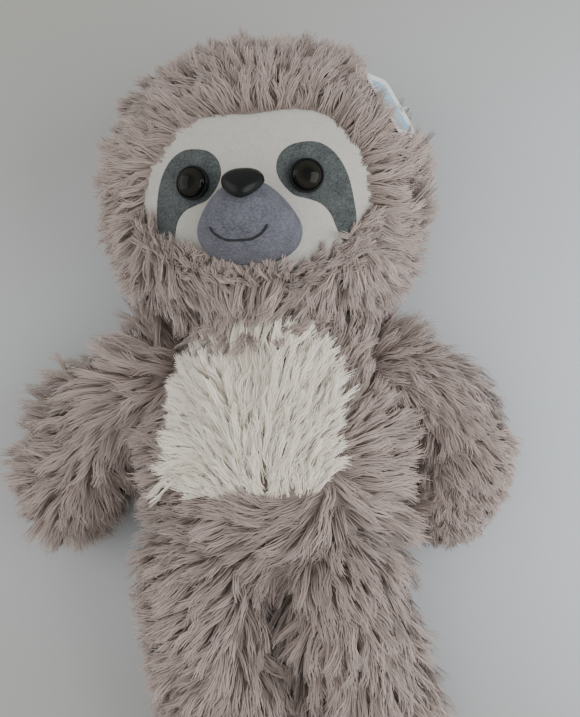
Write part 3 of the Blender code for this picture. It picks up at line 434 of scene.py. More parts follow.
patch_cloth = short_pile("dark_grey_short_pile", (0.026, 0.031, 0.033), (0.116, 0.13, 0.13), (1.0, 1.0, 1.0),
                         0.2 * MM)
for side, side_name in ((-1, "left"), (1, "right")):
    corners = patch_shares * (side, 1) * patch_size + face_at
    outline = smooth_loop(corners if side > 0 else corners[::-1], 96)
    middle = np.array([patch_middle[0] * side, patch_middle[1]]) * patch_size + face_at
    patch = make_cap("eye_patch_" + side_name + "_cloth", outline, middle, 24, patch_height, patch_cloth)
    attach(patch, "head")
    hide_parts("eye_patch_" + side_name)


# Eyes. Each is a clear brown plastic dome in the raised rim of a black plastic back, whose shank goes
# through the cloth into a washer. Behind the dome are a painted pupil and a dark edge.

eye_spread = 20.5 * MM
eye_lift = 1.7 * MM
rim_profile = [(0.0, 1.3), (5.3, 1.3), (5.45, 1.9), (5.75, 2.25), (6.1, 2.2), (6.38, 1.75), (6.4, 1.1),
               (6.3, 0.2), (6.1, 0.0), (1.6, 0.0), (1.6, -6.6), (1.4, -6.8), (0.0, -6.8)]
dome_radius = 5.6
dome_foot = 1.4
dome_seat = 1.6
dome_height = 3.4


def surface_place(height, x, y, lift):
    """A frame on a surface, with its Z outwards."""
    reach = 2.0 * MM
    slope = Vector((height(x - reach, y) - height(x + reach, y), height(x, y - reach) - height(x, y + reach),
                    2 * reach))
    slope.normalize()
    turn = Vector((0.0, 0.0, 1.0)).rotation_difference(slope).to_matrix().to_4x4()
    return head_roll @ Matrix.Translation(Vector((x, y, height(x, y))) + slope * lift) @ turn


def make_turned(name, profile, place, finish):
    """A piece turned about the Z axis of its place, from radii and heights in millimetres that start and
    end on the axis."""
    shape = bmesh.new()
    line = [shape.verts.new((radius * MM, 0.0, height * MM)) for radius, height in profile]
    edges = [shape.edges.new(pair) for pair in zip(line, line[1:])]
    bmesh.ops.spin(shape, geom=line + edges, cent=(0.0, 0.0, 0.0), axis=(0.0, 0.0, 1.0), angle=math.tau,
                   steps=64, use_merge=True)
    bmesh.ops.remove_doubles(shape, verts=shape.verts, dist=1e-6)
    bmesh.ops.recalc_face_normals(shape, faces=shape.faces)
    shape.transform(place)
    mesh = bpy.data.meshes.new(name)
    shape.to_mesh(mesh)
    shape.free()
    mesh.shade_smooth()
    mesh.materials.append(finish)
    piece = bpy.data.objects.new(name, mesh)
    bpy.context.scene.collection.objects.link(piece)
    return piece


def dome_finish(name, middle):
    """Brown plastic that is black in the middle and at the edge, with faint streaks between."""
    finish, tree, shader = new_finish(name, (0.02, 0.018, 0.012), 0.12)
    shader.inputs["Specular IOR Level"].default_value = 0.14
    place = object_place(tree)
    offset = add_node(tree, "ShaderNodeVectorMath", {"operation": "DISTANCE"}, i0=place, i1=middle)
    across = add_node(tree, "ShaderNodeMath", {"operation": "DIVIDE"}, i0=offset.outputs["Value"],
                      i1=dome_radius * MM)
    streaks = add_node(tree, "ShaderNodeTexNoise", Vector=place, Scale=700.0, Detail=2.0)
    shift = add_node(tree, "ShaderNodeMath", {"operation": "MULTIPLY_ADD"}, i0=streaks.outputs["Fac"],
                     i1=0.05, i2=across.outputs["Value"])
    tint = colour_ramp(tree, shift.outputs["Value"], [
        (0.0, (0.003, 0.003, 0.003)), (0.5, (0.004, 0.004, 0.004)), (0.56, (0.009, 0.009, 0.006)),
        (0.72, (0.015, 0.014, 0.01)), (0.86, (0.011, 0.01, 0.008)), (0.95, (0.004, 0.004, 0.004)),
        (1.0, (0.004, 0.004, 0.004))])
    tree.links.new(tint, shader.inputs["Base Color"])
    return finish


black_plastic, tree, shader = new_finish("black_plastic", (0.008, 0.009, 0.009), 0.28)
shader.inputs["Specular IOR Level"].default_value = 0.15
grain = add_node(tree, "ShaderNodeTexNoise", Vector=object_place(tree), Scale=2200.0, Detail=2.0)
add_relief(tree, shader, grain.outputs["Fac"], 0.25, 0.03 * MM)

dome_angles = np.linspace(0.0, math.pi / 2, 16)
dome_profile = [(dome_radius * math.sin(a), dome_seat + dome_height * math.cos(a)) for a in dome_angles]
dome_profile += [(dome_radius, dome_foot), (0.0, dome_foot)]
for side, side_name in ((-1, "left"), (1, "right")):
    x, y = face_at + (side * eye_spread, 0.0)
    seat = surface_place(head_height, x, y, eye_lift)
    rim = make_turned("eye_base_" + side_name + "_rim", rim_profile, seat, black_plastic)
    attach(rim, "head")
    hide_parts("eye_base_" + side_name)
    brown_plastic = dome_finish("brown_dome_" + side_name, seat @ Vector((0.0, 0.0, 3.0 * MM)))
    lens = make_turned("eye_dome_" + side_name + "_lens", dome_profile, seat, brown_plastic)
    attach(lens, "head")
    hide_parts("eye_dome_" + side_name)


# Muzzle. A dome of short, ribbed lavender-grey plush, stuffed with fibre. It is highest in its middle and is
# sewn to the face all round.

muzzle_at = face_at - (1.2 * MM, 15.7 * MM)
muzzle_half = np.array([19.5, 14.7]) * MM
muzzle_rise = 15.5 * MM
muzzle_lift = 1.2 * MM
muzzle_flatness = 2.15
muzzle_edge = both_sides([(0.0, 1.0), (0.36, 0.93), (0.7, 0.55), (0.94, 0.08), (1.0, -0.28), (0.86, -0.66),
                          (0.5, -0.93), (0.0, -1.0)], muzzle_at, muzzle_half, 128)
muzzle_angles = np.arctan2(*(muzzle_edge - muzzle_at).T[::-1])
muzzle_reach = np.linalg.norm(muzzle_edge - muzzle_at, axis=1)


def muzzle_height(x, y, share=None):
    """Height of the muzzle over a point of the plan, from its share of the way to the edge."""
    if share is None:
        away = np.array([x, y]) - muzzle_at
        angle = math.atan2(away[1], away[0])
        reach = np.interp(angle, muzzle_angles, muzzle_reach, period=math.tau)
        share = min(float(np.hypot(*away) / reach), 1.0)
    swell = (1.0 - share ** muzzle_flatness) ** (1.0 / muzzle_flatness)
    return head_height(x, y) + muzzle_lift * (1.0 - share ** 12) + muzzle_rise * swell


muzzle_cloth = short_pile("lavender_grey_short_pile", (0.055, 0.057, 0.069), (0.17, 0.174, 0.208),
                          (0.6, 1.4, 1.0), 0.25 * MM)
muzzle = make_cap("muzzle_dome", muzzle_edge, muzzle_at, 32, muzzle_height, muzzle_cloth)
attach(muzzle, "head")
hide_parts("muzzle_cover", "muzzle_stuffing")


# Nose. A moulded button of satin black plastic, rounded above and slightly domed below, whose shank pulls
# it into the top of the muzzle.

nose_half = np.array([7.9, 7.3]) * MM
nose_rise = 4.6 * MM
nose_flatness = 2.6
nose_belly = 0.6 * MM
nose_below_face_middle = 5.6 * MM
nose_lift = 0.9 * MM
nose_edge = both_sides([(0.0, 1.0), (0.48, 0.94), (0.86, 0.66), (0.98, 0.18), (0.62, -0.55), (0.0, -1.0)],
                       np.zeros(2), nose_half, 96)


def nose_top(x, y, share):
    return nose_rise * (1.0 - share ** nose_flatness) ** (1 / nose_flatness)


def nose_underside(x, y, share):
    return -nose_belly * (1.0 - share ** 2)


nose_seat = surface_place(muzzle_height, face_at[0], face_at[1] - nose_below_face_middle, nose_lift)
nose = make_cap("nose_button", nose_edge, np.zeros(2), 20, nose_top, black_plastic, place=nose_seat,
                base=nose_underside)
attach(nose, "head")
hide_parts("nose")


# Mouth. One line of back stitches in thick black thread, sewn through the muzzle as a smile. Its shares run
# from the left corner to the right one.

mouth_shares = np.array([(-1.0, 1.0), (-0.82, 0.5), (-0.45, 0.08), (0.05, 0.0), (0.45, 0.06), (0.8, 0.42),
                         (1.0, 0.92)])
mouth_half = np.array([10.7, 5.2])
mouth_from_face_middle = np.array([-2.3, -23.9]) * MM
mouth_radius = 0.5 * MM
mouth_lift = 0.25 * MM
mouth_steps = 56
stitch_steps = 8


def make_thread(name, points, radius, finish):
    """A round thread through the points, thicker in the middle of each stitch and thin at its ends."""
    line = bpy.data.curves.new(name, "CURVE")
    line.dimensions = "3D"
    line.bevel_depth = radius
    line.bevel_resolution = 4
    line.use_fill_caps = True
    spline = line.splines.new("POLY")
    spline.points.add(len(points) - 1)
    for index, (knot, point) in enumerate(zip(spline.points, points)):
        knot.co = (*point, 1.0)
        from_end = min(index, len(points) - 1 - index) / 3
        stitch = 0.82 + 0.18 * abs(math.sin(index * math.pi / stitch_steps))
        knot.radius = stitch * min(1.0, 0.45 + 0.55 * from_end)
    drawn = bpy.data.objects.new(name, line)
    bpy.context.scene.collection.objects.link(drawn)
    mesh = bpy.data.meshes.new_from_object(drawn.evaluated_get(bpy.context.evaluated_depsgraph_get()))
    bpy.data.objects.remove(drawn, do_unlink=True)
    mesh.shade_smooth()
    mesh.materials.clear()
    mesh.materials.append(finish)
    thread = bpy.data.objects.new(name, mesh)
    bpy.context.scene.collection.objects.link(thread)
    return thread


def twisted_thread(name, dark, light):
    """Matt sewing thread, whose twist shows as slanted bands."""
    finish, tree, shader = new_finish(name, light, 0.75)
    twist = add_node(tree, "ShaderNodeTexWave", {"bands_direction": "DIAGONAL"}, Vector=object_place(tree),
                     Scale=520.0, Distortion=1.5)
    tint = colour_ramp(tree, twist.outputs["Fac"], [(0.2, dark), (0.8, light)])
    tree.links.new(tint, shader.inputs["Base Color"])
    add_relief(tree, shader, twist.outputs["Fac"], 0.4, 0.1 * MM)
    return finish


mouth_knots = mouth_shares * mouth_half * MM + face_at + mouth_from_face_middle
mouth_knots = np.concatenate([mouth_knots[:1], mouth_knots, mouth_knots[-1:]])
mouth_points = []
for step in range(mouth_steps + 1):
    at = step / mouth_steps * (len(mouth_shares) - 1)
    first = min(int(at), len(mouth_shares) - 2)
    x, y = between(*mouth_knots[first:first + 4], at - first)
    mouth_points.append(head_roll @ Vector((x, y, muzzle_height(x, y) + mouth_lift)))

black_thread = twisted_thread("black_thread", (0.006, 0.006, 0.008), (0.018, 0.018, 0.021))
mouth = make_thread("mouth_stitches", mouth_points, mouth_radius, black_thread)
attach(mouth, "head")
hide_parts("mouth_thread")


# Hang tag. A white card with rounded corners and a plain pale-blue field, which hangs by its hole on a ring
# of clear nylon and leans against the right side of the head. Its frame has X along the card and Y up it.

tag_turn = math.radians(29.0)
tag_lean = math.radians(16.0)
tag_pivot = Vector((51.847, 133.313, 50.0)) * MM
card_half_width = 14.0
card_top = 22.0
card_bottom = -4.0
card_corner = 3.0
card_thickness = 0.6 * MM
hole_radius = 1.5
corner_steps = 8
field_half = (11.2 * MM, 8.2 * MM)
field_middle = 11.5 * MM

lean = Matrix(((0.0, -math.sin(tag_lean), math.cos(tag_lean)), (1.0, 0.0, 0.0),
               (0.0, math.cos(tag_lean), math.sin(tag_lean)))).to_4x4()
tag_seat = Matrix.Translation(tag_pivot) @ Matrix.Rotation(tag_turn, 4, "Z") @ lean
card = bpy.data.curves.new("tag_card", "CURVE")
card.dimensions = "2D"
card.fill_mode = "BOTH"
card.extrude = card_thickness / 2
side, high, low = card_half_width - card_corner, card_top - card_corner, card_bottom + card_corner
edge_corners = ((side, high), (-side, high), (-side, low), (side, low))
for corners, radius in ((edge_corners, card_corner), (((0.0, 0.0),) * 4, hole_radius)):
    loop = []
    for quarter, (x, y) in enumerate(corners):
        for step in range(corner_steps + 1):
            angle = math.pi / 2 * (quarter + step / corner_steps)
            loop.append(((x + radius * math.cos(angle)) * MM, (y + radius * math.sin(angle)) * MM))
    spline = card.splines.new("POLY")
    spline.points.add(len(loop) - 1)
    spline.use_cyclic_u = True
    for knot, (x, y) in zip(spline.points, loop):
        knot.co = (x, y, 0.0, 1.0)
drawn = bpy.data.objects.new("tag_card_outline", card)
bpy.context.scene.collection.objects.link(drawn)
mesh = bpy.data.meshes.new_from_object(drawn.evaluated_get(bpy.context.evaluated_depsgraph_get()))
bpy.data.objects.remove(drawn, do_unlink=True)
mesh.name = "tag_card"
mesh.transform(tag_seat)
mesh.shade_flat()

white_card, tree, shader = new_finish("white_card", (0.8, 0.82, 0.84), 0.45)
place = object_place(tree)
shares = []
for axis, half in zip((tag_seat.to_3x3().col[k] for k in (0, 1)), field_half):
    offset = add_node(tree, "ShaderNodeVectorMath", {"operation": "SUBTRACT"}, i0=place,
                      i1=tag_seat @ Vector((0.0, field_middle, 0.0)))
    along = add_node(tree, "ShaderNodeVectorMath", {"operation": "DOT_PRODUCT"}, i0=offset.outputs["Vector"],
                     i1=axis)
    size = add_node(tree, "ShaderNodeMath", {"operation": "ABSOLUTE"}, i0=along.outputs["Value"])
    shares.append(add_node(tree, "ShaderNodeMath", {"operation": "DIVIDE"}, i0=size.outputs["Value"],
                           i1=half))
powers = [add_node(tree, "ShaderNodeMath", {"operation": "POWER"}, i0=share.outputs["Value"], i1=8.0)
          for share in shares]
total = add_node(tree, "ShaderNodeMath", {"operation": "ADD"}, i0=powers[0].outputs["Value"],
                 i1=powers[1].outputs["Value"])
tint = colour_ramp(tree, total.outputs["Value"], [(0.95, (0.3, 0.55, 0.72)), (1.0, (0.8, 0.82, 0.84))])
tree.links.new(tint, shader.inputs["Base Color"])
mesh.materials.clear()
mesh.materials.append(white_card)
tag = bpy.data.objects.new("tag_card", mesh)
bpy.context.scene.collection.objects.link(tag)
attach(tag, "tag")
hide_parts("hang_tag")


# Pile of the head. The cover is woven with a long, soft, slightly crimped pile that hangs in tufts, paler at
# their tips. Each tuft is a bundle of flat strands that lies as it was brushed: away from the face, and
# together under the chin. A stroke is a place of the plan in millimetres and a direction there.

strands = 18
stations = 5
strand_shares = np.linspace(0.0, 1.0, stations)
strand_width = 0.38 * MM
taper = np.array([0.8, 1.0, 1.0, 0.9, 0.4])
roundness = math.radians(30.0)
root_depth = 0.6 * MM
candidates = 5
root_gap = 0.75
root_gap_beneath = 1.3
stroke_blur = 3.0 * MM
droop = -0.35
lift_spread = 7.0
settle_spread = 8.0
curl_spread = 0.24
sway_spread = 0.22
sway_turns = 6.5
gathering = 0.34
trimming = (0.74, 1.02)
crimp = 0.65 * MM
crimp_turns = 6.0
twist_spread = 0.3
tuft_tone = 0.17
strand_tone = 0.05
tone_width = 0.012
noise.seed_set(5)

back_height = 30.0 * MM
crown_from = 118.0 * MM
chin_below = 74.0 * MM
head_spacing = 2.85 * MM
parting_middle = np.array([2.6, 98.5]) * MM
parting = np.array([
    (-13.6, 23.5), (-2.6, 24.0), (8.4, 24.3), (21.4, 24.5), (30.8, 19.0), (35.2, 13.7), (38.6, 8.7),
    (40.4, 2.2), (41.0, -3.7), (40.6, -9.5), (39.0, -15.2), (36.4, -20.3), (31.0, -26.0), (23.4, -30.0),
    (13.4, -32.5), (0.4, -34.0), (-12.0, -32.5), (-24.0, -28.5), (-33.0, -23.0), (-38.5, -17.5),
    (-42.6, -10.5), (-42.0, -4.5), (-39.0, 2.5), (-34.6, 8.5), (-28.6, 14.5), (-21.6, 19.5)]) * MM
head_strokes = [
    (-25, 134, -0.8, 0.6), (-13, 141, -0.5, 0.85), (0, 146, -0.15, 1), (11, 150, 0.1, 1),
    (15, 136, 0.15, 1), (26, 145, 0.35, 0.95), (34, 133, 0.4, 0.9), (44, 129, 0.55, 0.85),
    (49, 113, 0.8, 0.6), (57, 97, 0.95, 0.35), (51, 88, 0.9, 0.45), (58, 78, 1, 0.1), (53, 67, 0.9, -0.4),
    (-39, 127, -0.9, 0.45), (-47, 117, -1, 0.2), (-51, 105, -1, 0), (-55, 93, -1, -0.1),
    (-56, 82, -0.95, -0.35), (-52, 70, -0.8, -0.6), (-38, 72, 0.25, -0.95), (-28, 67, 0.35, -0.9),
    (-18, 61, 0.1, -1), (-7, 59, -0.1, -1), (1, 61, 0, -1), (15, 64, -0.5, -0.85), (24, 69, -0.6, -0.8),
    (38, 69, 0.5, -0.85)]
card_half_pressed = 12.0
card_pressed = (-2.0, 20.0)
card_reach = 14.0
card_fade = 7.0


def strand_template():
    """One tuft as flat strips, from which come the faces and, for each vertex, its strand, station and
    side."""
    tuft = bmesh.new()
    for strand in range(strands):
        strip = bmesh.ops.create_grid(tuft, x_segments=1, y_segments=stations - 1, size=0.5)["verts"]
        bmesh.ops.translate(tuft, verts=strip, vec=(0.0, 0.0, float(strand)))
    tuft.verts.index_update()
    places = np.array([vertex.co[:] for vertex in tuft.verts])
    faces = np.array([[vertex.index for vertex in face.verts] for face in tuft.faces])
    tuft.free()
    side = np.sign(places[:, 0])
    station = np.rint((places[:, 1] + 0.5) * (stations - 1)).astype(int)
    return faces, np.rint(places[:, 2]).astype(int), station, side


tuft_faces, tuft_strand, tuft_station, tuft_side = strand_template()


def read(items, field, kind):
    """A field of three numbers from every item of a mesh, one row for each."""
    values = np.empty(len(items) * 3, kind)
    items.foreach_get(field, values)
    return values.reshape(-1, 3)


def unit(vectors):
    """The vectors with a length of one."""
    return vectors / np.maximum(np.linalg.norm(vectors, axis=-1, keepdims=True), 1e-6)


def scatter(skin, spacing, seed, keep):
    """Roots spread evenly over the part of a skin that keep allows, with the skin's direction outwards.
    Underneath the toy they are further apart."""
    rng = np.random.default_rng(seed)
    mesh = skin.data
    mesh.calc_loop_triangles()
    corners = read(mesh.loop_triangles, "vertices", int)
    places = read(mesh.vertices, "co", float)
    normals = read(mesh.vertex_normals, "vector", np.float32)
    a, b, c = (places[corners[:, k]] for k in range(3))
    area = np.linalg.norm(np.cross(b - a, c - a), axis=1) / 2
    count = int(area.sum() / spacing ** 2 * candidates)
    chosen = rng.choice(len(area), count, p=area / area.sum())
    u, v = rng.uniform(size=(2, count))
    over = u + v > 1
    u, v = np.where(over, 1 - u, u), np.where(over, 1 - v, v)
    weights = np.stack([1 - u - v, u, v], 1)[:, :, None]
    roots = (places[corners[chosen]] * weights).sum(1)
    out = unit((normals[corners[chosen]] * weights).sum(1))
    allowed = keep(roots, out)
    roots, out = roots[allowed], out[allowed]
    tree = kdtree.KDTree(len(roots))
    for index, root in enumerate(roots):
        tree.insert(root, index)
    tree.balance()
    taken = np.zeros(len(roots), bool)
    gone = np.zeros(len(roots), bool)
    for index, root in enumerate(roots):
        if gone[index]:
            continue
        taken[index] = True
        reach = spacing * (root_gap if out[index, 2] > -0.4 else root_gap_beneath)
        for _, other, _ in tree.find_range(root, reach):
            gone[other] = True
    return roots[taken], out[taken]


def whorl(root):
    """How the pile turns from place to place, slowly and then once more in smaller whorls."""
    return noise.noise_vector(Vector(root) * 50.0) + noise.noise_vector(Vector(root) * 110.0) * 0.6


def brushed(roots, out, strokes, rng, stray, whorls):
    """The direction in which each tuft lies, that of the strokes near it with whorls and stray tufts, how
    far that direction points out of the skin, and how much the strokes near it cancel out."""
    strokes = np.array(strokes, float)
    places = strokes[:, :2] * MM
    away = ((roots[:, None, :2] - places[None]) ** 2).sum(2) + stroke_blur ** 2
    weights = away ** -1.5
    flow = np.zeros_like(roots)
    flow[:, :2] = (weights[:, :, None] * strokes[None, :, 2:4]).sum(1) / weights.sum(1)[:, None]
    calm = np.clip(1.0 - np.hypot(flow[:, 0], flow[:, 1]) * 1.6, 0.0, 1.0)
    flow[:, 2] = droop
    swirl = np.array([whorl(root)[:] for root in roots])
    flow += swirl * whorls + rng.normal(size=flow.shape) * stray
    flow = unit(flow)
    outwards = (flow * out).sum(1)
    flow -= out * outwards[:, None]
    return unit(flow), np.maximum(outwards, 0.0), calm


def lay_tufts(out, lie, start, end, reach, rng):
    """The middle line of each tuft, which leaves the skin at one angle and ends at another with a curl and
    a sway to the side, and the directions across it and above it."""
    count = len(out)
    side = np.cross(out, lie)
    curl = rng.normal(0.0, curl_spread, count)
    sway = rng.normal(0.0, sway_spread, count)
    sway_start = rng.uniform(0.0, math.tau, count)
    middle = (strand_shares[1:] + strand_shares[:-1]) / 2
    rise = start[:, None] + (end - start)[:, None] * middle ** 0.8
    turn = curl[:, None] * middle + sway[:, None] * np.sin(sway_start[:, None] + middle * sway_turns)
    ahead = np.cos(rise) * np.cos(turn)
    sideways = np.cos(rise) * np.sin(turn)
    steps = lie[:, None] * ahead[..., None] + side[:, None] * sideways[..., None]
    steps += out[:, None] * np.sin(rise)[..., None]
    steps *= (reach / (stations - 1))[:, None, None]
    spine = np.concatenate([np.zeros((count, 1, 3)), np.cumsum(steps, 1)], 1)
    between_steps = (steps[:, 1:] + steps[:, :-1]) / 2
    heading = unit(np.concatenate([steps[:, :1], between_steps, steps[:, -1:]], 1))
    across = unit(np.cross(heading, out[:, None]))
    return spine, across, np.cross(across, heading)


def lay_strands(spine, across, above, spacing, rng):
    """The middle line of each strand, which keeps its place in the tuft but for a crimp, and the directions
    across its flat side and out of it. Rows are tufts and strands, and columns are stations."""
    size = (len(spine), strands)
    angle = rng.uniform(0.0, math.tau, size)
    spread = np.sqrt(rng.uniform(0.0, 1.0, size)) * spacing * rng.uniform(0.55, 0.9, (len(spine), 1))
    aside, aloft = np.cos(angle) * spread, np.sin(angle) * spread * 0.7
    gather = 1.0 - gathering * np.sin(strand_shares * math.pi)
    trim = rng.uniform(*trimming, size)
    wave = rng.uniform(0.0, math.tau, (*size, 1)) + strand_shares * crimp_turns
    wave_size = np.abs(rng.normal(0.0, crimp, (*size, 1))) * strand_shares
    twist = rng.normal(0.0, twist_spread, size)[..., None, None]
    along = np.minimum(trim[..., None] * strand_shares * (stations - 1), stations - 1.0)
    low = np.clip(along.astype(int), 0, stations - 2)
    part = (along - low)[..., None]
    tuft = np.arange(len(spine))[:, None, None]
    centre = spine[tuft, low] * (1 - part) + spine[tuft, low + 1] * part
    across, above = across[:, None], above[:, None]
    centre = centre + across * (aside[..., None] * gather + np.sin(wave) * wave_size)[..., None]
    centre = centre + above * (aloft[..., None] * gather + np.cos(wave) * wave_size)[..., None]
    flat = across * np.cos(twist) + above * np.sin(twist)
    return centre, flat, above * np.cos(twist) - across * np.sin(twist)


def pile_mesh(name, points, normals, uv):
    """All tufts as one mesh, with given normals and the UV map that the finish reads."""
    tufts = np.arange(len(points) // len(tuft_strand))[:, None, None]
    corners = (tuft_faces[None] + tufts * len(tuft_strand)).ravel().astype(np.int32)
    mesh = bpy.data.meshes.new(name)
    mesh.vertices.add(len(points))
    mesh.vertices.foreach_set("co", points.astype(np.float32).ravel())
    mesh.loops.add(len(corners))
    mesh.loops.foreach_set("vertex_index", corners)
    mesh.polygons.add(len(corners) // 4)
    mesh.polygons.foreach_set("loop_start", np.arange(0, len(corners), 4, dtype=np.int32))
    mesh.update(calc_edges=True)
    layer = mesh.uv_layers.new(name="OFBake")
    layer.uv.foreach_set("vector", uv[corners].astype(np.float32).ravel())
    mesh.shade_smooth()
    mesh.normals_split_custom_set_from_vertices(normals.astype(np.float32))
    return mesh


def pile_finish(name, root, low, middle, tip, tones=(0.72, 1.26)):
    """Dark at the root as painted shade, paler at the tip, and each strand a little darker or lighter than
    the next.
    """
    finish, tree, shader = new_finish(name, middle, 0.82, Sheen_Weight=0.4, Sheen_Roughness=0.45)
    shader.inputs["Specular IOR Level"].default_value = 0.25
    uv = tree.nodes.new("ShaderNodeUVMap")
    uv.uv_map = "OFBake"
    parts = add_node(tree, "ShaderNodeSeparateXYZ", Vector=uv.outputs["UV"])
    # Painted shade and real colour: the darkening towards the root stands in for shade deep in the pile, and
    # the paler tip is the pile's own.
    base = colour_ramp(tree, parts.outputs["Y"], [(0.0, root), (0.3, low), (0.65, middle), (1.0, tip)])
    tone = add_node(tree, "ShaderNodeMapRange", i0=parts.outputs["X"], i3=tones[0], i4=tones[1])
    scaled = add_node(tree, "ShaderNodeVectorMath", {"operation": "SCALE"}, i0=base,
                      Scale=tone.outputs["Result"])
    tree.links.new(scaled.outputs["Vector"], shader.inputs["Base Color"])
    return finish


taupe = pile_finish("taupe_pile", (0.24, 0.187, 0.163), (0.35, 0.28, 0.247), (0.42, 0.341, 0.307),
                    (0.47, 0.386, 0.351))


def make_pile(name, body, strokes, seed, keep, spacing, length, lift, finish=taupe,
              stray=0.14, whorls=0.5, settle=-6.0, stand=(24.0, 40.0), rumple=16.0, longer=None,
              flatten=None):
    """The pile on the part of a body's skin that keep allows. Length is the least and greatest reach of a
    tuft in millimetres, and lift and settle are the degrees at which it leaves the skin and ends. Stray and
    whorls turn tufts away from the strokes, stand raises those that point out of the skin, and rumple
    raises and lowers whole patches. Longer and flatten give factors for the roots: one for the length, one
    for the length and the rise."""
    rng = np.random.default_rng(seed)
    roots, out = scatter(skins[body], spacing, seed, keep)
    lie, outwards, calm = brushed(roots, out, strokes, rng, stray, whorls)
    count = len(roots)
    reach = rng.uniform(*length, count) * MM
    if longer:
        reach = reach * longer(roots, out)
    patches = [noise.noise(Vector(root) * 95.0 + Vector((7.0, 0.0, 0.0))) for root in roots]
    raised = np.array(patches) * 2.0 * rumple
    start = np.radians(rng.normal(lift, lift_spread, count) + raised + stand[0] * outwards + 40.0 * calm)
    end = np.radians(rng.normal(settle, settle_spread, count) + raised + stand[1] * outwards + 55.0 * calm)
    if flatten:
        flat = flatten(roots)
        start, end, reach = start * flat, end * flat, reach * (0.5 + 0.5 * flat)
    spine, across, above = lay_tufts(out, lie, start, end, reach, rng)
    centre, flat, face = lay_strands(spine, across, above, spacing, rng)
    half = flat * (strand_width / 2 * taper)[:, None]
    centre = centre + roots[:, None, None] - out[:, None, None] * root_depth
    which = (slice(None), tuft_strand, tuft_station)
    points = (centre[which] + half[which] * tuft_side[:, None]).reshape(-1, 3)
    points[:, 2] = np.maximum(points[:, 2], lowest)
    lean = face[which] * math.cos(roundness) + flat[which] * (math.sin(roundness) * tuft_side)[:, None]
    tone = 0.5 + rng.normal(0.0, tuft_tone, (count, 1)) + rng.normal(0.0, strand_tone, (count, strands))
    u = np.clip(tone, 0.03, 0.97)[:, tuft_strand] + tuft_side * tone_width
    v = np.broadcast_to(strand_shares[tuft_station], u.shape)
    mesh = pile_mesh(name, points, lean.reshape(-1, 3), np.stack([u, v], -1).reshape(-1, 2))
    mesh.materials.append(finish)
    pile = bpy.data.objects.new(name, mesh)
    bpy.context.scene.collection.objects.link(pile)
    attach(pile, body)
    return pile


def inside_of(skin):
    """A function that gives how deep points lie within a skin."""
    tree = BVHTree.FromPolygons([vertex.co for vertex in skin.data.vertices],
                                [list(face.vertices) for face in skin.data.polygons])

    def depth(points):
        found = np.empty(len(points))
        for index, point in enumerate(points):
            near, normal, _, away = tree.find_nearest(Vector(point))
            found[index] = away if (Vector(point) - near).dot(normal) < 0.0 else -away
        return found

    return depth


depth_in = {name: inside_of(skin) for name, skin in skins.items()}


def outside(names, most=3.0):
    """A test that keeps roots no more than so many millimetres deep in the named skins."""
    def test(roots):
        kept = np.ones(len(roots), bool)
        for name in names:
            kept &= depth_in[name](roots) < most * MM
        return kept
    return test


def within(points, outline):
    """Which points of the plan lie in a closed outline."""
    x, y = points[:, 0], points[:, 1]
    hit = np.zeros(len(points), bool)
    for (x0, y0), (x1, y1) in zip(outline, np.roll(outline, -1, 0)):
        crosses = (y0 > y) != (y1 > y)
        with np.errstate(divide="ignore", invalid="ignore"):
            at = x0 + (y - y0) * (x1 - x0) / (y1 - y0)
        hit ^= crosses & (x < at)
    return hit


def seen_from(seat, points):
    """The points as they lie in the frame of a seat."""
    back = np.array(seat.inverted())
    return points @ back[:3, :3].T + back[:3, 3]


def on_face(roots, out):
    local = seen_from(head_roll, roots)[:, :2] - parting_middle
    return within(local, parting) & (out[:, 2] > 0.0)


def from_card(roots):
    """How far each root is from the part of the skin that the tag's card lies against, in millimetres."""
    along, up, outwards = (seen_from(tag_seat, roots) * 1000).T
    aside = np.maximum(np.abs(along) - card_half_pressed, 0.0)
    above = np.maximum(up - card_pressed[1], 0.0) + np.maximum(card_pressed[0] - up, 0.0)
    return np.where(np.abs(outwards) < card_reach, np.hypot(aside, above), 99.0)


def beside_card(roots):
    """The pile round the card is pressed flat by it."""
    return np.clip(from_card(roots) / card_fade, 0.2, 1.0)


def on_head(part):
    """A test that keeps the roots of one part of the head that are clear of the face, the body and the
    card."""
    clear = outside(["torso"], 2.0)

    def keep(roots, out):
        local = seen_from(head_roll, roots)
        return ~on_face(roots, out) & part(*local.T) & clear(roots) & (from_card(roots) > 0.0)
    return keep


def head_side(y, z):
    return (y < crown_from) & (y >= chin_below) & (z >= back_height)


head_parts = {
    "head_pile_crown": (11, (12.0, 16.0), lambda x, y, z: (y >= crown_from) & (z >= back_height)),
    "head_pile_left": (12, (14.0, 19.0), lambda x, y, z: head_side(y, z) & (x < 0)),
    "head_pile_right": (13, (14.0, 19.0), lambda x, y, z: head_side(y, z) & (x >= 0)),
    "head_pile_chin": (14, (14.0, 19.0), lambda x, y, z: (y < chin_below) & (z >= back_height)),
    "head_pile_back": (15, (14.0, 19.0), lambda x, y, z: z < back_height),
}
for name, (seed, length, part) in head_parts.items():
    make_pile(name, "head", head_strokes, seed, on_head(part), head_spacing, length, 34.0, rumple=10.0,
              flatten=beside_card)


# Fringe under the face. It is the same pile as the rest of the head's, but shorter and brushed up over the
# edge of the cream cloth, so that the seam doesn't show there.

fringe_outer = 1.14
fringe_inner = 1.03
fringe_top = -14.0 * MM
fringe_strokes = [
    (-41, 76, 0.3, 0.95), (-33, 70, 0.1, 1), (-24, 66, -0.25, 0.95), (-14, 63, 0.1, 1), (-4, 61, -0.25, 0.95),
    (6, 61, 0.25, 0.95), (16, 63, 0.6, 0.8), (26, 66, 0.3, 0.95), (34, 70, 0.8, 0.6), (42, 76, 0.5, 0.85)]


def below_face(roots, out):
    local = seen_from(head_roll, roots)[:, :2] - parting_middle
    band = within(local * (1 / fringe_outer), parting) & ~within(local * fringe_inner, parting)
    return band & (local[:, 1] < fringe_top) & (out[:, 2] > 0.0)


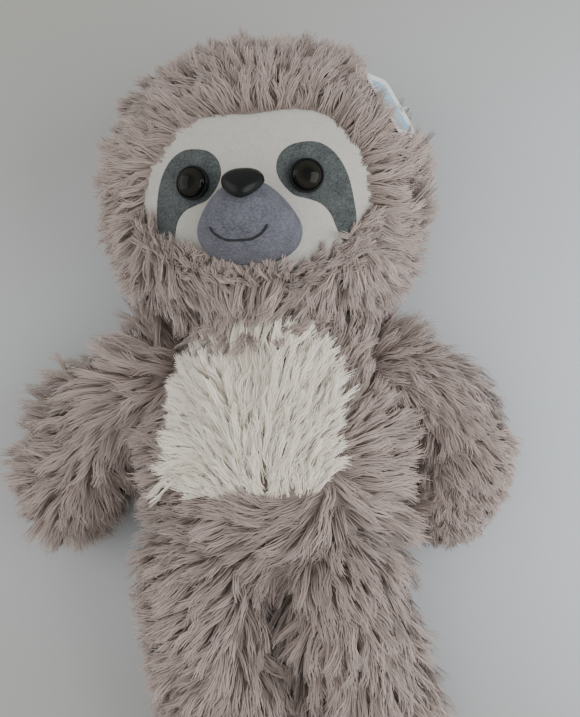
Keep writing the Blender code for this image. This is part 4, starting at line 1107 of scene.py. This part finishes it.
make_pile("head_pile_chin_edge", "head", fringe_strokes, 16, below_face, 2.0 * MM, (8.0, 13.0), 52.0,
          stray=0.3, settle=2.0)


# Belly panel and pile of the body. The cream long-pile panel is sewn into the belly. It is brushed up and
# outwards from low in its middle, over the taupe pile of the cover, which is pressed down beside it.

panel_middle = np.array([-3.0, 15.0]) * MM
panel_draw = (0.87, 0.93)
panel_drop = 6.5 * MM
panel_shown = np.array([
    (-31.5, 40.0), (-18.7, 44.5), (-2.2, 45.5), (14.7, 44.5), (26.0, 41.0), (28.2, 30.0), (28.6, 17.0),
    (29.0, 5.0), (29.0, -7.0), (24.0, -13.0), (-2.0, -15.0), (-16.0, -15.0), (-31.0, -12.5), (-35.5, -5.0),
    (-36.0, 7.6), (-36.0, 19.4), (-35.0, 31.0)]) * MM
panel_face_from = 50.0 * MM
side_tufts = ((-31.0, -8.0), (24.0, 15.0))
side_tuft_size = 25.0
body_strokes = [
    (-43, 19, -0.9, -0.4), (-45, 4, -1, -0.2), (-43, -12, -0.9, -0.5), (-37, 42, -0.6, -0.6),
    (35, 38, 0.5, 0.85), (41, 19, 0.6, 0.8), (39, 4, 0.75, 0.6), (52, -19, 1, -0.1), (63, -26, 0.95, -0.3),
    (44, -41, 0.55, -0.85), (26, -41, -0.3, -1), (14, -42, -0.7, -0.7), (10, -30, -0.95, -0.3),
    (38, -7, 0.9, 0.3), (10, -24, -0.95, 0.1), (22, -24, -0.6, -0.4), (34, -25, 0.6, -0.6),
    (-4, -25, -1, 0.1), (-25, -27, -0.95, -0.2), (-9, -34, -0.9, -0.45), (-37, -20, -1, -0.1),
    (-41, -35, -1, -0.2), (-2, -53, 0, -1)]
belly_strokes = [
    (-27, 38, -0.4, 0.9), (-11, 39, -0.2, 1), (4, 39, 0, 1), (19, 39, 0.2, 1), (27, 33, 0.35, 0.95),
    (29, 18, 0.75, 0.65), (23, 7, 0.7, 0.7), (16, 22, 0.5, 0.85), (-3, 19, -0.3, 0.95), (-19, 19, -0.6, 0.8),
    (-29, 19, -0.85, 0.5), (-32, 4, -1, -0.05), (-34, -7, -1, -0.25), (-23, -15, -0.85, 0.3),
    (-11, -20, -0.4, 0.7), (0, -21, -0.1, 0.85), (11, -20, 0.2, 0.85), (20, -16, 0.5, 0.7),
    (28, -6, 0.7, 0.65), (-3, 4, -0.2, 0.95), (8, 1, 0.4, 0.9), (-13, 3, -0.6, 0.7)]

# The seam is inside the pale area that shows, because the panel's pile hangs over it. Low on the belly it
# is lower, because the pile there is brushed up.
panel_seam = panel_middle + (panel_shown - panel_middle) * panel_draw
panel_seam[:, 1] -= np.where(panel_seam[:, 1] < 0.0, panel_drop, 0.0)


def from_seam(points):
    """How far each point of the plan is from the panel's seam."""
    points = points[:, None, :2]
    start, end = panel_seam[None], np.roll(panel_seam, -1, 0)[None]
    along = ((points - start) * (end - start)).sum(2) / ((end - start) ** 2).sum(2)
    nearest = start + (end - start) * np.clip(along, 0.0, 1.0)[..., None]
    return np.linalg.norm(nearest - points, axis=2).min(1)


def ramp(places, start, size):
    """A rise from 0 at the start to 1 one size further on, both in millimetres."""
    return np.clip((places - start * MM) / (size * MM), 0.0, 1.0)


def beside_panel(roots):
    """The taupe pile along the panel is pressed down, so that the panel's own pile lies over it."""
    near = roots[:, 2] > panel_face_from
    return np.where(near, np.clip(from_seam(roots) / (6.0 * MM), 0.4, 1.0), 1.0)


def side_length(roots, out):
    """The body's pile stands out further on its right side, above the hip."""
    above_hip = 1.0 - ramp(np.abs(roots[:, 1] + 22.0 * MM), 0.0, 18.0)
    return 1.0 + 0.5 * (above_hip * ramp(roots[:, 0], 28.0, 10.0))


def panel_length(roots, out):
    """The panel's pile is shorter along its edges, but for a longer tuft on each side."""
    edge = 1.0 - 0.4 * (1.0 - ramp(from_seam(roots), 0.0, 7.0))
    for tuft in side_tufts:
        edge += 0.8 * np.exp(-((roots[:, :2] / MM - tuft) ** 2).sum(1) / side_tuft_size)
    return edge


def on_panel(roots, out):
    return within(roots[:, :2], panel_seam) & (out[:, 2] > 0.2)


def on_front(roots, out):
    return ~on_panel(roots, out) & (roots[:, 2] >= back_height) & clear_of_limbs(roots)


def on_back(roots, out):
    return (roots[:, 2] < back_height) & clear_of_limbs(roots)


# Its darker root colours are painted shade deep in the pile, as for the taupe pile.
cream = pile_finish("cream_pile", (0.84, 0.755, 0.62), (0.9, 0.83, 0.705), (0.93, 0.875, 0.765),
                    (0.95, 0.905, 0.805), (0.9, 1.04))
clear_of_head = outside(["head"])
clear_of_limbs = outside(["head", *limbs])
make_pile("body_pile_front", "torso", body_strokes, 21, on_front, 3.1 * MM, (16.0, 21.0), 36.0,
          longer=side_length, flatten=beside_panel)
make_pile("body_pile_back", "torso", body_strokes, 22, on_back, 3.2 * MM, (11.0, 15.0), 36.0)
belly = make_pile("belly_pile", "torso", belly_strokes, 23, lambda p, n: on_panel(p, n) & clear_of_head(p),
                  1.95 * MM, (12.0, 18.0), 32.0, finish=cream, whorls=0.4,
                  longer=panel_length)
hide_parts("belly_panel")


# Pile of the arms. It is the body's plush. On the left arm it fans out from the middle of the paw, and on
# the right one it is shorter and lies down along the arm.

arm_left_strokes = [
    (-60, 48, -0.6, 0.8), (-68, 42, -0.65, 0.75), (-76, 33, -0.75, 0.65), (-85, 24, -0.85, 0.5),
    (-93, 15, -0.95, 0.3), (-102, 3, -1, 0), (-56, 34, -0.7, 0.2), (-66, 24, -0.8, -0.2),
    (-61, 16, -0.5, -0.8), (-66, 7, -0.3, -0.9), (-57, 0, 0.5, -0.85), (-77, 8, -0.6, -0.6),
    (-91, -5, -1, 0), (-90, -12, -0.8, -0.6), (-82, -15, 0, -1), (-74, -12, 0.6, -0.8),
    (-72, -4, 0.8, -0.5), (-100, -12, -0.95, -0.3), (-98, -22, -0.75, -0.65), (-85, -28, -0.15, -1),
    (-72, -22, 0.5, -0.85), (-104, -32, -0.7, -0.7)]
arm_right_strokes = [
    (50, 52, 0.3, 0.9), (58, 50, 0.5, 0.6), (67, 42, 0.8, 0), (80, 20, 0.85, -0.45), (85, 4, 0.95, -0.3),
    (87, -12, 0.95, -0.4), (74, 11, 0.7, -0.5), (72, -4, 0.4, -0.9), (66, -20, -0.1, -1),
    (77, -20, 0.5, -0.85), (58, 27, 0.3, -0.8), (62, 4, -0.2, -1)]


def arm_left_length(roots, out):
    """The left arm's pile is long over the shoulder and short on the side of the paw towards the body."""
    shoulder = np.clip((out[:, 1] - out[:, 0]) / 1.2, 0.0, 1.0) * ramp(roots[:, 1], 5.0, 20.0)
    inner = ramp(roots[:, 0], -82.0, 12.0) * ramp(-roots[:, 1], 0.0, 15.0)
    tip = ramp(-roots[:, 0], 96.0, 8.0)
    return (1.0 + 0.75 * shoulder - 0.45 * inner) * (1.0 - 0.2 * tip)


def arm_right_length(roots, out):
    """The right arm's pile is long over the shoulder and short at the end of its paw."""
    shoulder = np.clip(out[:, 1], 0.0, 1.0) * ramp(roots[:, 1], 20.0, 12.0)
    return 1.0 + 0.6 * shoulder - 0.35 * ramp(-roots[:, 1], 6.0, 14.0)


clear_of_body = outside(["torso", "head"])
make_pile("arm_left_pile", "arm_left", arm_left_strokes, 31, lambda p, n: clear_of_body(p), 3.1 * MM,
          (16.5, 21.5), 36.0, longer=arm_left_length)
make_pile("arm_right_pile", "arm_right", arm_right_strokes, 32, lambda p, n: clear_of_body(p), 3.1 * MM,
          (10.5, 14.0), 34.0, stand=(14.0, 20.0), longer=arm_right_length)


# Pile of the legs. It is the body's plush, which fans out from the crotch over the left thigh and hangs
# down the right one. Between the legs it stands further out, so that it meets in the middle.

crotch_x = 8.0 * MM
leg_strokes = {
    "leg_left": [
        (-19, -58, -0.95, -0.35), (-35, -63, -0.95, -0.3), (-43, -74, -0.85, -0.5), (-27, -74, -0.75, -0.65),
        (-35, -90, -0.6, -0.8), (-15, -66, -0.8, -0.6), (-1, -79, 0, -1), (-11, -93, -0.35, -0.95),
        (5, -92, 0.15, -1), (16, -92, 0.4, -0.9), (-47, -98, -0.7, -0.7), (4, -78, 0.75, -0.7),
        (8, -100, 0.6, -0.8)],
    "leg_right": [
        (43, -57, 0.4, -0.9), (51, -76, 0.45, -0.9), (62, -94, 0.5, -0.85), (32, -72, 0.1, -1),
        (24, -88, -0.1, -1), (58, -64, 0.6, -0.8), (13, -62, -0.5, -0.85), (40, -46, 0.45, -0.9)],
}


def leg_length(roots, out):
    return 1.0 + 0.45 * (1.0 - ramp(np.abs(roots[:, 0] - crotch_x), 0.0, 12.0))


clear_of_torso = outside(["torso"])
for name, seed in (("leg_left", 41), ("leg_right", 42)):
    make_pile(name + "_pile", name, leg_strokes[name], seed, lambda p, n: clear_of_torso(p), 3.1 * MM,
              (15.0, 20.0), 36.0, longer=leg_length)


# Inside the toy. Washers of white plastic hold the eyes and the nose, gathered backing cloth closes the neck
# and the limbs' roots, thread sews the head on and closes the back, and a ring of clear nylon holds the tag.
# They keep the shapes of the CAD and get a finish.

woven, tree, shader = new_finish("taupe_backing", (0.3, 0.26, 0.23), 0.92)
yarn = {"Vector": object_place(tree), "Scale": 380.0, "Distortion": 0.6}
warp = add_node(tree, "ShaderNodeTexWave", {"bands_direction": "X"}, **yarn)
weft = add_node(tree, "ShaderNodeTexWave", {"bands_direction": "Z"}, **yarn)
weave = add_node(tree, "ShaderNodeMath", {"operation": "MAXIMUM"}, i0=warp.outputs["Fac"],
                 i1=weft.outputs["Fac"])
tint = colour_ramp(tree, weave.outputs["Value"], [(0.3, (0.22, 0.188, 0.165)), (0.9, (0.32, 0.277, 0.246))])
tree.links.new(tint, shader.inputs["Base Color"])
add_relief(tree, shader, weave.outputs["Value"], 0.5, 0.15 * MM)

washer_plastic, tree, shader = new_finish("white_washer_plastic", (0.7, 0.7, 0.68), 0.5)
grain = add_node(tree, "ShaderNodeTexNoise", Vector=object_place(tree), Scale=900.0, Detail=3.0)
tint = colour_ramp(tree, grain.outputs["Fac"], [(0.3, (0.65, 0.65, 0.63)), (0.7, (0.73, 0.73, 0.71))])
tree.links.new(tint, shader.inputs["Base Color"])
add_relief(tree, shader, grain.outputs["Fac"], 0.3, 0.03 * MM)

nylon, tree, shader = new_finish("clear_nylon", (0.75, 0.75, 0.75), 0.3, Transmission_Weight=0.6, IOR=1.53)
haze = add_node(tree, "ShaderNodeTexNoise", Vector=object_place(tree), Scale=1200.0, Detail=2.0)
tint = colour_ramp(tree, haze.outputs["Fac"], [(0.3, (0.7, 0.71, 0.71)), (0.7, (0.8, 0.8, 0.8))])
tree.links.new(tint, shader.inputs["Base Color"])

taupe_thread = twisted_thread("taupe_thread", (0.14, 0.118, 0.104), (0.24, 0.204, 0.18))
limb_roots = ("shoulder_left", "shoulder_right", "hip_left", "hip_right")
for names, finish in (
        (("neck_patch_lower", "neck_patch_upper", *(root + "_patch" for root in limb_roots)), woven),
        (("eye_washer_left", "eye_washer_right", "nose_washer"), washer_plastic),
        (("neck_thread", "closing_stitches"), taupe_thread),
        (("tag_fastener",), nylon)):
    for name in names:
        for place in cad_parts[name].material_slots:
            place.material = finish
